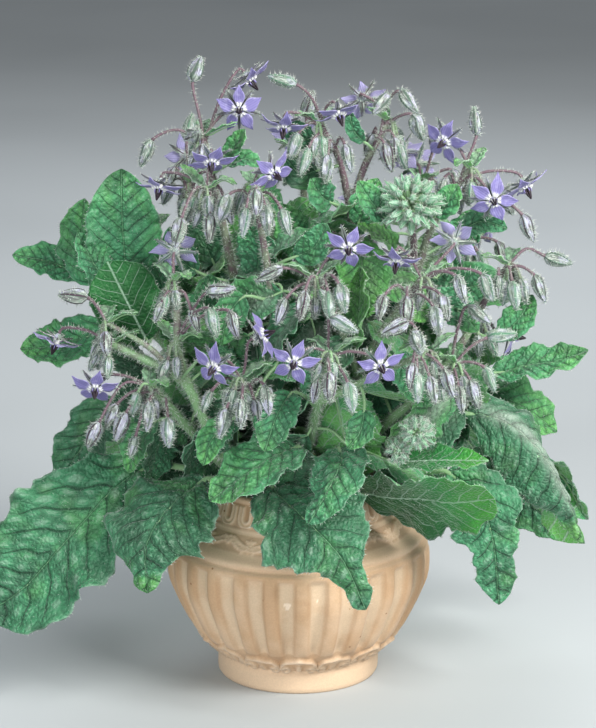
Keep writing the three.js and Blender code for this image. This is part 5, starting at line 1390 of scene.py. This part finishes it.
def leaf_skin(tints):
    """Hairy living leaf: matt, quilted between sunken veins painted dark with shade, frosted by short white
    hairs, with painted highlights on its quilted cells and ridge.
    """
    f = Finish("Borage leaf, hairy upper side", tints,
               "tint", "vein", "across", "along", "smooth", "silver")
    n, blade = f.add, f.blade()
    tint, vein, across, along, pale, silver = f.marks
    fine = n("TexVoronoi", blade, patches(2.4), feature="DISTANCE_TO_EDGE", voronoi_dimensions="2D")
    plain = f.coats(n("ValToRGB", tint, stops=((0.02, tints["leaf_dark"]), (0.52, tints["leaf_mid"]))),
                    ("leaf_bright", n("MapRange", tint, 0.45, 0.9)))
    base = f.coats(
        plain,
        ("leaf_dark", n("MapRange", n("TexNoise", f.spot, patches(16)), 0.42, 0.7, 0, 0.5)),
        ("leaf_bright", n("MapRange", n("TexNoise", f.spot, patches(21)), 0.5, 0.7, 0, 0.22)),
        # Painted shade in the fine creases of the quilting.
        ("leaf_dark", n("MapRange", fine, 0, 0.14, 0.22, 0)),
        # Frosty patches: partly the felt of short hairs, partly painted highlight.
        ("frost", n("MapRange", n("TexNoise", blade, patches(7)), 0.46, 0.72, 0, 0.22)),
        # Painted highlight on the tops of the quilted cells, away from the valleys.
        ("frost", n("MapRange", n("Math", vein, operation="ABSOLUTE"), 0, 0.25, 0.2, 0)),
        # Painted shade in the valleys along the veins and between the cells.
        ("leaf_dark", n("MapRange", vein, 0.2, 0.95, 0, 0.58)),
        (plain, n("Math", pale, 0.7)),
        ("leaf_bright", n("Math", pale, 0.75), "MULTIPLY"),
    )
    # A fine line along each side vein and the midrib, dark on a quilted leaf, where it is painted shade in
    # the sunken vein, and light on a pale one, the vein's own colour.
    split = n("SeparateXYZ", blade).node.outputs
    beside = n("Math", split["X"], operation="ABSOLUTE")
    line = n("MapRange", n("Math", split["Z"], 0.5, operation="PINGPONG"), 0.02, 0.06, 1, 0)
    line = n("Math", line, n("MapRange", across, 0.7, 0.98, 1, 0))
    line = n("Math", line, n("MapRange", beside, 0.0003, 0.0008, 1, 0), operation="MAXIMUM")
    taper = n("Math", beside, n("Math", along, 0.0008), operation="ADD")
    hairs = n("MapRange", n("TexNoise", blade, patches(0.6)), 0.58, 0.7, 0, 0.22)
    base = f.coats(
        base,
        (f.coats("leaf_dark", ("frost", pale)), n("Math", line, n("MapRange", pale, 0, 1, 0.62, 0.4))),
        ("frost", n("Math", n("MapRange", taper, 0.0004, 0.0009, 0.6, 0), pale)),
        ("leaf_under", n("MapRange", beside, 0, 0.0003, 0.5, 0)),
        ("frost", n("MapRange", across, 0.95, 1, 0, 0.26)),
        ("frost", n("Math", hairs, n("MapRange", pale, 0, 1, 1, 0.2))),
        # Painted highlight along the ridge, in the bristles' white.
        ("bristle", n("Math", silver,
                      n("MapRange", n("TexNoise", blade, patches(2.5)), 0.35, 0.6, 0.3, 1))),
    )
    height = n("Math", n("MapRange", fine, 0, 0.4), n("Math", n("TexNoise", f.spot, patches(0.8)), 0.4),
               operation="ADD")
    height = n("Math", height, line, operation="SUBTRACT")
    return f.done(base, height, 0.5, 0.8, glow=0.16, Roughness=0.5, Specular_IOR_Level=0.4,
                  Sheen_Weight=0.3, Sheen_Roughness=0.4, Sheen_Tint=(0.8, 0.95, 0.86, 1))


def leaf_back(tints):
    """Underside of the same leaf: paler, felted, with raised light veins."""
    f = Finish("Borage leaf, felted underside", tints, "tint")
    n, blade = f.add, f.blade()
    fine = n("TexVoronoi", blade, patches(2.4), feature="DISTANCE_TO_EDGE", voronoi_dimensions="2D")
    split = n("SeparateXYZ", blade).node.outputs
    beside = n("Math", split["X"], operation="ABSOLUTE")
    line = n("MapRange", n("Math", split["Z"], 0.5, operation="PINGPONG"), 0.03, 0.08, 1, 0)
    line = n("Math", line, n("MapRange", beside, 0.0006, 0.0014, 1, 0), operation="MAXIMUM")
    base = f.coats(
        "leaf_under",
        ("leaf_bright", n("MapRange", f.marks[0], 0.3, 0.7, 0.25, 0.75)),
        ("leaf_mid", n("MapRange", n("TexNoise", f.spot, patches(11)), 0.42, 0.68, 0, 0.75)),
        ("frost", n("MapRange", fine, 0, 0.12, 0.3, 0)),
        ("frost", n("Math", line, 0.55)),
    )
    height = n("Math", n("MapRange", fine, 0, 0.3, 1, 0), n("Math", line, 2), operation="ADD")
    return f.done(base, height, 0.5, 0.7, glow=0.2, Roughness=0.7, Specular_IOR_Level=0.25,
                  Sheen_Weight=0.3, Sheen_Roughness=0.5)


def stem_skin(tints):
    """Juicy stem: smooth and slightly glossy under its bristles, green below and flushed with purple
    where the sun reaches it."""
    f = Finish("Borage stem, juicy skin", tints, "tint")
    n, tint = f.add, f.marks[0]
    flush = n("MapRange", n("TexNoise", f.spot, patches(6)), 0.4, 0.7, -0.18, 0.18)
    flecks = n("MapRange", n("TexVoronoi", f.spot, patches(1.5)), 0.1, 0.3, 0.5, 0)
    base = f.coats(
        n("ValToRGB", n("Math", tint, flush, operation="ADD"),
          stops=((0.12, tints["stem_green"]), (0.8, tints["stem_purple"]))),
        ("stem_purple", n("Math", flecks, tint)),
        ("frost", n("MapRange", n("TexNoise", f.spot, patches(0.7)), 0.6, 0.7, 0, 0.25)),
    )
    return f.done(base, n("TexNoise", f.spot, patches(0.6)), 0.15, 0.5,
                  Roughness=0.45, Specular_IOR_Level=0.4, Sheen_Weight=0.2)


def bristle_skin(tints):
    """Stiff white hairs full of flint: bright, a little glassy, clearer towards the tip."""
    f = Finish("Borage bristle", tints, "tint")
    base = f.coats("frost", ("bristle", f.add("MapRange", f.marks[0], 0, 0.5)))
    return f.done(base, glow=0.45, Roughness=0.35, Specular_IOR_Level=0.5, Sheen_Weight=0.2)


def sepal_skin(tints):
    """Silky sepals of buds and calyces: grey green and flushed with purple, streaked with silver hair,
    with dark keels and seams."""
    f = Finish("Borage sepal, silky", tints, "tint", "across")
    n, (tint, across) = f.add, f.marks
    ripe = n("MapRange", tint, -0.1, 0.6, 0.3, 1)
    silk = n("TexNoise", f.blade(), patches(0.55), 3)
    keel = n("MapRange", across, 0.14, 0.42, 1, 0)
    purple = n("MapRange", n("TexNoise", f.spot, patches(4)), 0.35, 0.65, 0.05, 0.4)
    lilac = n("MapRange", n("TexNoise", f.spot, patches(5)), 0.44, 0.62, 0, 0.5)
    base = f.coats(
        "young",
        ("sepal", n("MapRange", tint, -0.6, 0.3)),
        ("stem_purple", n("Math", ripe, purple)),
        ("petal_pale", n("Math", ripe, lilac)),
        ("sepal_dark", n("Math", ripe, n("MapRange", silk, 0.38, 0.5, 0.6, 0))),
        ("bristle", n("MapRange", silk, 0.5, 0.64, 0, 0.36)),
        ("leaf_mid", n("Math", keel, 0.8)),
        ("sepal_dark", n("Math", keel, ripe)),
        ("sepal_dark", n("MapRange", across, 0.86, 0.98, 0, 0.6)),
    )
    return f.done(base, silk, 0.2, 0.5, Roughness=0.7, Specular_IOR_Level=0.15, Sheen_Weight=0.12,
                  Sheen_Roughness=0.5)


def petal_skin(tints):
    """Thin, silky petal: violet blue with fine darker veins, white towards the throat and paler on
    its underside."""
    f = Finish("Borage petal", tints, "along", "tint", "across", "vein")
    n, (along, tint, across, vein) = f.add, f.marks
    veins = n("Math", n("Math", vein, 26), operation="SINE")
    base = f.coats(
        "petal",
        ("petal_pale", n("MapRange", tint, 0.4, 0.9, 0, 0.55)),
        ("petal_pale", n("MapRange", across, 0.72, 1, 0, 0.45)),
        ("petal", n("MapRange", veins, 0.2, 1, 0, 0.35), "MULTIPLY"),
        ("petal_pale", n("MapRange", n("TexNoise", f.spot, patches(3)), 0.5, 0.75, 0, 0.4)),
        ("bristle", n("MapRange", along, 0.08, 0.3, 0.85, 0)),
    )
    return f.done(base, veins, 0.12, 0.4, glow=0.2, Roughness=0.5, Specular_IOR_Level=0.3,
                  Sheen_Weight=0.3, Sheen_Roughness=0.3)


def scale_skin(tints):
    """White, waxy throat scales, shaded with lilac."""
    f = Finish("Borage throat scale", tints)
    shaded = f.add("MapRange", f.add("TexNoise", f.spot, patches(1.2)), 0.4, 0.7, 0, 0.45)
    return f.done(f.coats("bristle", ("petal_pale", shaded)), glow=0.15, Roughness=0.45,
                  Specular_IOR_Level=0.4)


def anther_skin(tints):
    """Nearly black, dusty anthers, with their violet horns."""
    f = Finish("Borage anther", tints, "tint")
    dusty = f.add("MapRange", f.add("TexNoise", f.spot, patches(0.8)), 0.5, 0.8, 0, 0.5)
    base = f.coats("anther", ("stem_purple", dusty), ("petal", f.marks[0]))
    return f.done(base, f.add("TexNoise", f.spot, patches(0.4)), 0.1, 0.5, Roughness=0.5,
                  Specular_IOR_Level=0.4)


def fired_clay(tints):
    """Unglazed terracotta, pressed in a mould: matt and gritty, with a pale bloom of lime in its channels,
    a little brown dirt in patches, painted shade in its hollows, painted highlights on its raised ornament,
    rib crowns and channel tops, painted light on its shaded upper part, pale chips and small pits."""
    f = Finish("Terracotta, mould-pressed", tints, "along", "across", "vein", "tint")
    n, (height, channel, hollow_shade, tint) = f.add, f.marks
    lime = n("MapRange", n("TexNoise", f.spot, patches(12), 3), 0.25, 0.55, 0.6, 1)
    grain = n("MapRange", n("TexNoise", f.spot, patches(0.9), 3), 0.35, 0.7, 0.88, 1)
    pits = n("MapRange", n("TexVoronoi", f.spot, patches(9)), 0.045, 0.075, 1, 0)
    base = f.coats(
        "foot",
        ("rib", n("MapRange", height, 0.1, 0.2)),
        # Painted light: from the shoulder up, the pot is lightened towards the foot's colour where the
        # leaves shade it.
        ("foot", n("MapRange", height, 0.68, 0.76, 0, 0.6)),
        ("foot", n("MapRange", n("TexNoise", f.spot, patches(24), 4), 0.38, 0.68, 0, 0.6)),
        # Brown dirt in patches.
        ("recess", n("MapRange", n("TexNoise", f.spot, patches(17), 5), 0.56, 0.8, 0, 0.25)),
        ("channel", n("Math", channel, lime)),
        # Painted shade in the hollows, on the channel walls and all over the inside.
        ("recess", n("Math", hollow_shade, 0.6)),
        # Painted highlight, the stronger the higher the tint mark.
        ("highlight", n("MapRange", tint, 0.35, 2.2, 0, 0.85)),
        # Pale fresh clay in chips.
        ("highlight", n("MapRange", tint, -0.8, -0.2, 0.9, 0)),
        (grain, 0.6, "MULTIPLY"),
        ("recess", n("Math", pits, 0.9)),
    )
    grit = n("Math", n("TexNoise", f.spot, patches(0.7), 4), pits, operation="SUBTRACT")
    return f.done(base, grit, 0.25, 0.5, Roughness=0.75, Specular_IOR_Level=0.35, Sheen_Weight=0.1)


def potting_soil(tints):
    """Damp peat and bark crumbs: dark and dull, with paler dry crumbs on top."""
    f = Finish("Potting soil", tints, "tint")
    dry = f.add("MapRange", f.add("TexNoise", f.spot, patches(2.2)), 0.5, 0.8, 0, 0.55)
    base = f.coats("soil", ("recess", dry), ("soil", f.add("MapRange", f.marks[0], 0.2, 0.9, 0.8, 0)))
    return f.done(base, f.add("TexNoise", f.spot, patches(1), 5), 0.5, 0.9, Roughness=0.95,
                  Specular_IOR_Level=0.2)


def plain_floor():
    """Matt, pale studio floor."""
    f = Finish("Studio floor, matt paint",
               {"pale": (*linear("#BDC3C6"), 1), "paler": (*linear("#B8BEC1"), 1)})
    clouds = f.add("MapRange", f.add("TexNoise", f.spot, patches(400)), 0.4, 0.65)
    return f.done(f.coats("pale", ("paler", clouds)), Roughness=0.85, Specular_IOR_Level=0.2)


PLANT_FINISHES = (leaf_skin, leaf_back, stem_skin, bristle_skin, sepal_skin)
BLOOM_FINISHES = (petal_skin, scale_skin, anther_skin)


def finishes(makers, group):
    """The materials that makers make, each made once."""
    tints = colours(group)
    made = []
    for maker in makers:
        known = [m for m in bpy.data.materials if m.get("made_by") == maker.__name__]
        material = known[0] if known else maker(tints)
        material["made_by"] = maker.__name__
        made.append(material)
    return made


# ---------------------------------------------------------------- operators
LIGHTER_TIP = 0.12
CANOPY_MIDDLE = np.array((14, 0, 164))
CANOPY_REACH = np.array((78, 62, 84))
# The layers of the dome: how many leaves, how far out they hang as a share of the reach, how much
# lighter or darker they are, and how finely they are made.
# The inner layer is darker: painted shade inside the dome.
CANOPY_LAYERS = (
    (74, 1.0, 0.25, dict(fine=1.9, across=14, hairy=1.0)),
    (34, 0.66, -0.1, dict(fine=3.0, across=10, hairy=0.2)),
)
CANOPY_LOWEST = 112
CANOPY_SEED = 11


def canopy():
    """The many leaves that close the dome between the stems, by the stem that each grows from."""
    rng = np.random.default_rng(CANOPY_SEED)
    grown = {name: [] for name in STEMS}
    shoots = []
    for name, spec in STEMS.items():
        for _, _, points in spec["shoots"] if name.startswith("stem") else []:
            shoots.append((name, Line(points)(np.linspace(0.08, 0.9, 24))[0]))
    for count, share, light, detail in CANOPY_LAYERS:
        for k in range(count):
            lift = 1 - 1.66 * (k + 0.5) / count
            turn = k * GOLDEN_ANGLE
            flat = math.sqrt(1 - lift * lift)
            out = np.array([flat * math.cos(turn), flat * math.sin(turn), lift])
            spot = CANOPY_MIDDLE + CANOPY_REACH * out * rng.uniform(0.84, 1.04) * share
            swing, wide = rng.uniform(-1.3, 1.3), rng.uniform(0.27, 0.34)
            long = rng.uniform(36, 54) * (1 - 0.25 * lift)
            tint, tilt = rng.uniform(0, 0.45) + light + 0.15 * lift, rng.normal(0, 0.3, 3)
            if spot[2] < CANOPY_LOWEST:
                continue
            normal = unit(out / CANOPY_REACH)
            down = unit(normal * normal[2] - (0, 0, 1) + 1e-6)
            way = down * math.cos(swing) + np.cross(normal, down) * math.sin(swing)
            if lift > 0.45 and k % 2:
                way = -way
            base = spot - way * long * 0.45 - normal * 4
            tip = spot + way * long * 0.55 - normal * rng.uniform(0, 8)
            name, places = min(shoots, key=lambda shoot: np.linalg.norm(shoot[1] - base, axis=1).min())
            root = places[np.linalg.norm(places - base, axis=1).argmin()]
            bend = (root + base) / 2 + (0, 0, 3) - normal * 2
            spec = blade(long * wide, normal + tilt, root, bend, base, spot, tip,
                         silver=rng.uniform(0, 0.5))
            grown[name].append((spec, (tint, tint + LIGHTER_TIP), detail))
    return grown


def build_stem(form, spec, canopy_leaves):
    """One flowering stem: its shoots, its leaves, its buds and the calyces and stalks of its flowers."""
    lines = []
    for k, (start, end, points) in enumerate(spec["shoots"]):
        foot = foot_of(spec["root"], 3) if k == 0 else []
        line = Line([*foot, *points])
        straight = length_of(foot) / line.length if foot else 0
        rounds = 1 - np.array([1.4, 0.7, 0.25, 0]) * end / line.length
        shares = np.concatenate([np.linspace(0, rounds[0], max(10, round(line.length / 3)))[:-1], rounds])
        radii = start + (end - start) * np.clip((shares - straight) / (1 - straight), 0, 1)
        radii = radii * (1 + 0.04 * np.sin(shares * line.length * 0.35 + k))
        radii[-3:] = end * np.array([0.86, 0.55, 0.12])
        at = line(shares)[0]
        ripe = smooth(120, 250, at[:, 2]) * 0.75 + (0.15 if k else 0)
        tube(form, line, shares, radii, 12, BARK, along=shares, tint=ripe)
        low = 2 * ROOT_DEPTH / line.length if k == 0 else 0.02
        bristle_bar(form, line, (low, 0.98), (start, end), 1.5 * (start + end), 2.8, HAIR_WIDTH * 1.1)
        lines.append((points[-1], Line(points)))

    def perch(hub, k):
        for end, line in lines:
            if tuple(end) == tuple(hub):
                return line(1 - (1.2 + 3.4 * k) / line.length)[0][0]
        return np.array(hub, float)

    sprays = spec.get("sprays", [])
    for spray in sprays:
        blooms = spray.get("blooms", [])
        for k, row in enumerate(spray.get("buds", [])):
            bud(form, perch(spray["hub"], len(blooms) + k), *row)
        for k, row in enumerate(blooms):
            calyx(form, perch(spray["hub"], k), *row)
    hubs = [np.array(spray["hub"], float) for spray in sprays]
    for k, at in enumerate(spec.get("single_buds", [])):
        hub = min(hubs, key=lambda h: np.linalg.norm(h - at - (0, 0, BUD_HANG)))
        bud(form, perch(tuple(hub), 1.5 + k), at, size=form.rng.uniform(0.72, 0.98))
    for spec_leaf in spec.get("leaves", []):
        tint = spec_leaf.get("tint", form.rng.uniform(0.38, 0.62))
        tip = tint + spec_leaf.get("lighter", LIGHTER_TIP)
        leaf(form, spec_leaf, tints=(tint, tip), fine=1.7, across=16, stem=0.9, relief=0.8)
    for spec_leaf, tints, detail in canopy_leaves:
        leaf(form, spec_leaf, tints=tints, stem=0.8, relief=0.85, **detail)
    for spray in sprays:
        tassel(form, spray["hub"])
    for row in spec.get("heads", []):
        head(form, **row)


class BORAGE_OT_pot(bpy.types.Operator):
    """Build the fluted clay pot with its pressed ornament"""

    bl_idname = "borage.pot"
    bl_label = "Build pot"

    def execute(self, context):
        form = Form("fluted_pot")
        build_pot(form, context.scene.borage_pot)
        form.made(finishes([fired_clay], context.scene.borage_pot), "terracotta", "pot")
        return {"FINISHED"}


class BORAGE_OT_soil(bpy.types.Operator):
    """Fill the pot with crumbly soil"""

    bl_idname = "borage.soil"
    bl_label = "Build soil"

    def execute(self, context):
        form = Form("crumbly_soil")
        build_soil(form)
        form.made(finishes([potting_soil], context.scene.borage_pot), "potting_soil", "soil")
        return {"FINISHED"}


class BORAGE_OT_crown_leaves(bpy.types.Operator):
    """Build the broad leaves that hang over the rim"""

    bl_idname = "borage.crown_leaves"
    bl_label = "Build crown leaves"

    def execute(self, context):
        materials = finishes(PLANT_FINISHES, context.scene.borage_plant)
        for name, spec in CROWN_LEAVES.items():
            form = Form(f"quilted_{name}")
            leaf(form, spec, foot=foot_of(spec["root"], 9), tints=spec["tints"], stem=1.7)
            form.made(materials, "leaf", name)
        return {"FINISHED"}


class BORAGE_OT_stems(bpy.types.Operator):
    """Build the hairy stems with their leaves, buds and calyces"""

    bl_idname = "borage.stems"
    bl_label = "Build stems"

    def execute(self, context):
        materials = finishes(PLANT_FINISHES, context.scene.borage_plant)
        grown = canopy()
        for name, spec in STEMS.items():
            form = Form(f"hairy_{name}")
            build_stem(form, spec, grown[name])
            form.made(materials, "stem", name)
        return {"FINISHED"}


class BORAGE_OT_blooms(bpy.types.Operator):
    """Build the open violet-blue flowers"""

    bl_idname = "borage.blooms"
    bl_label = "Build blooms"

    def execute(self, context):
        plant = context.scene.borage_plant
        materials = finishes(BLOOM_FINISHES, plant)
        for name, spec in STEMS.items():
            rows = [row for spray in spec.get("sprays", []) for row in spray.get("blooms", [])]
            for k, row in enumerate(rows, 1):
                node = f"bloom_{name.replace('stem_', '')}_{k}"
                form = Form(f"star_{node}")
                corolla(form, plant.bloom_radius / MM, *row[:3])
                form.made(materials, "petal", node)
        return {"FINISHED"}


CAMERA_PLACE = (0, -1.5, 0.56)
CAMERA_PITCH = 14.8  # degrees below the level
CAMERA_LENS = 150.3  # mm
SENSOR_HEIGHT = 36
FLOOR_REACH = 8
LIGHTS_AIM = (0, 0, 0.17)
STUDIO_AIR = (0.80, 0.83, 0.86, 1)
STUDIO_AIR_STRENGTH = 0.28
# Name, place, width, power in watts and colour of each soft box.
SOFTBOXES = (
    ("key_softbox", (0.85, -0.75, 1.05), 0.6, 30, (1.0, 0.98, 0.94)),
    ("fill_softbox", (-0.7, -2.05, 0.68), 1.5, 33, (0.96, 0.98, 1.0)),
    ("back_softbox", (0.2, 1.1, 1.1), 1.0, 9, (0.96, 0.98, 1.0)),
)


def area_light(name, place, wide, power, tone):
    """A square soft box that shines at the plant."""
    data = bpy.data.lights.new(name, "AREA")
    data.size = wide
    data.energy = power
    data.color = tone
    light = bpy.data.objects.new(name, data)
    light.location = place
    light.rotation_euler = (Vector(LIGHTS_AIM) - Vector(place)).to_track_quat("-Z", "Y").to_euler()
    bpy.context.scene.collection.objects.link(light)


class BORAGE_OT_stage(bpy.types.Operator):
    """Set up the plain floor, the soft light and the camera"""

    bl_idname = "borage.stage"
    bl_label = "Set the stage"

    def execute(self, context):
        mesh = bpy.data.meshes.new("studio_floor")
        corners = [(x * FLOOR_REACH, y * FLOOR_REACH, 0) for x, y in ((-1, -1), (1, -1), (1, 1), (-1, 1))]
        mesh.from_pydata(corners, [], [(0, 1, 2, 3)])
        mesh.materials.append(plain_floor())
        floor = bpy.data.objects.new("studio_floor", mesh)
        context.scene.collection.objects.link(floor)
        for softbox in SOFTBOXES:
            area_light(*softbox)
        world = bpy.data.worlds.new("studio")
        world.use_nodes = True
        world.node_tree.nodes.clear()
        air = add_node(world.node_tree, "Background", STUDIO_AIR, STUDIO_AIR_STRENGTH)
        add_node(world.node_tree, "OutputWorld", air)
        context.scene.world = world
        context.scene.view_settings.view_transform = "Standard"
        data = bpy.data.cameras.new("studio_camera")
        data.sensor_fit = "VERTICAL"
        data.sensor_height = SENSOR_HEIGHT
        data.lens = CAMERA_LENS
        camera = bpy.data.objects.new("studio_camera", data)
        camera.location = CAMERA_PLACE
        camera.rotation_euler = (math.radians(90 - CAMERA_PITCH), 0, 0)
        context.scene.collection.objects.link(camera)
        context.scene.camera = camera
        return {"FINISHED"}


STEPS = (BORAGE_OT_stage, BORAGE_OT_pot, BORAGE_OT_soil, BORAGE_OT_crown_leaves, BORAGE_OT_stems,
         BORAGE_OT_blooms)


class BORAGE_PT_panel(bpy.types.Panel):
    """Sizes, colours and steps of the potted borage"""

    bl_idname = "BORAGE_PT_panel"
    bl_label = "Potted borage"
    bl_space_type = "VIEW_3D"
    bl_region_type = "UI"
    bl_category = "Borage"

    def draw(self, context):
        for group in (context.scene.borage_pot, context.scene.borage_plant):
            box = self.layout.box()
            for name in group.__annotations__:
                box.prop(group, name)
        for step in STEPS:
            self.layout.operator(step.bl_idname)


CLASSES = (BoragePotSettings, BoragePlantSettings, *STEPS, BORAGE_PT_panel)


def register():
    for cls in CLASSES:
        bpy.utils.register_class(cls)
    bpy.types.Scene.borage_pot = bpy.props.PointerProperty(type=BoragePotSettings)
    bpy.types.Scene.borage_plant = bpy.props.PointerProperty(type=BoragePlantSettings)


def unregister():
    del bpy.types.Scene.borage_plant
    del bpy.types.Scene.borage_pot
    for cls in reversed(CLASSES):
        bpy.utils.unregister_class(cls)


def main():
    """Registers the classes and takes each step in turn."""
    register()
    bpy.ops.borage.stage()
    bpy.ops.borage.pot()
    bpy.ops.borage.soil()
    bpy.ops.borage.crown_leaves()
    bpy.ops.borage.stems()
    bpy.ops.borage.blooms()


if __name__ == "__main__":
    main()
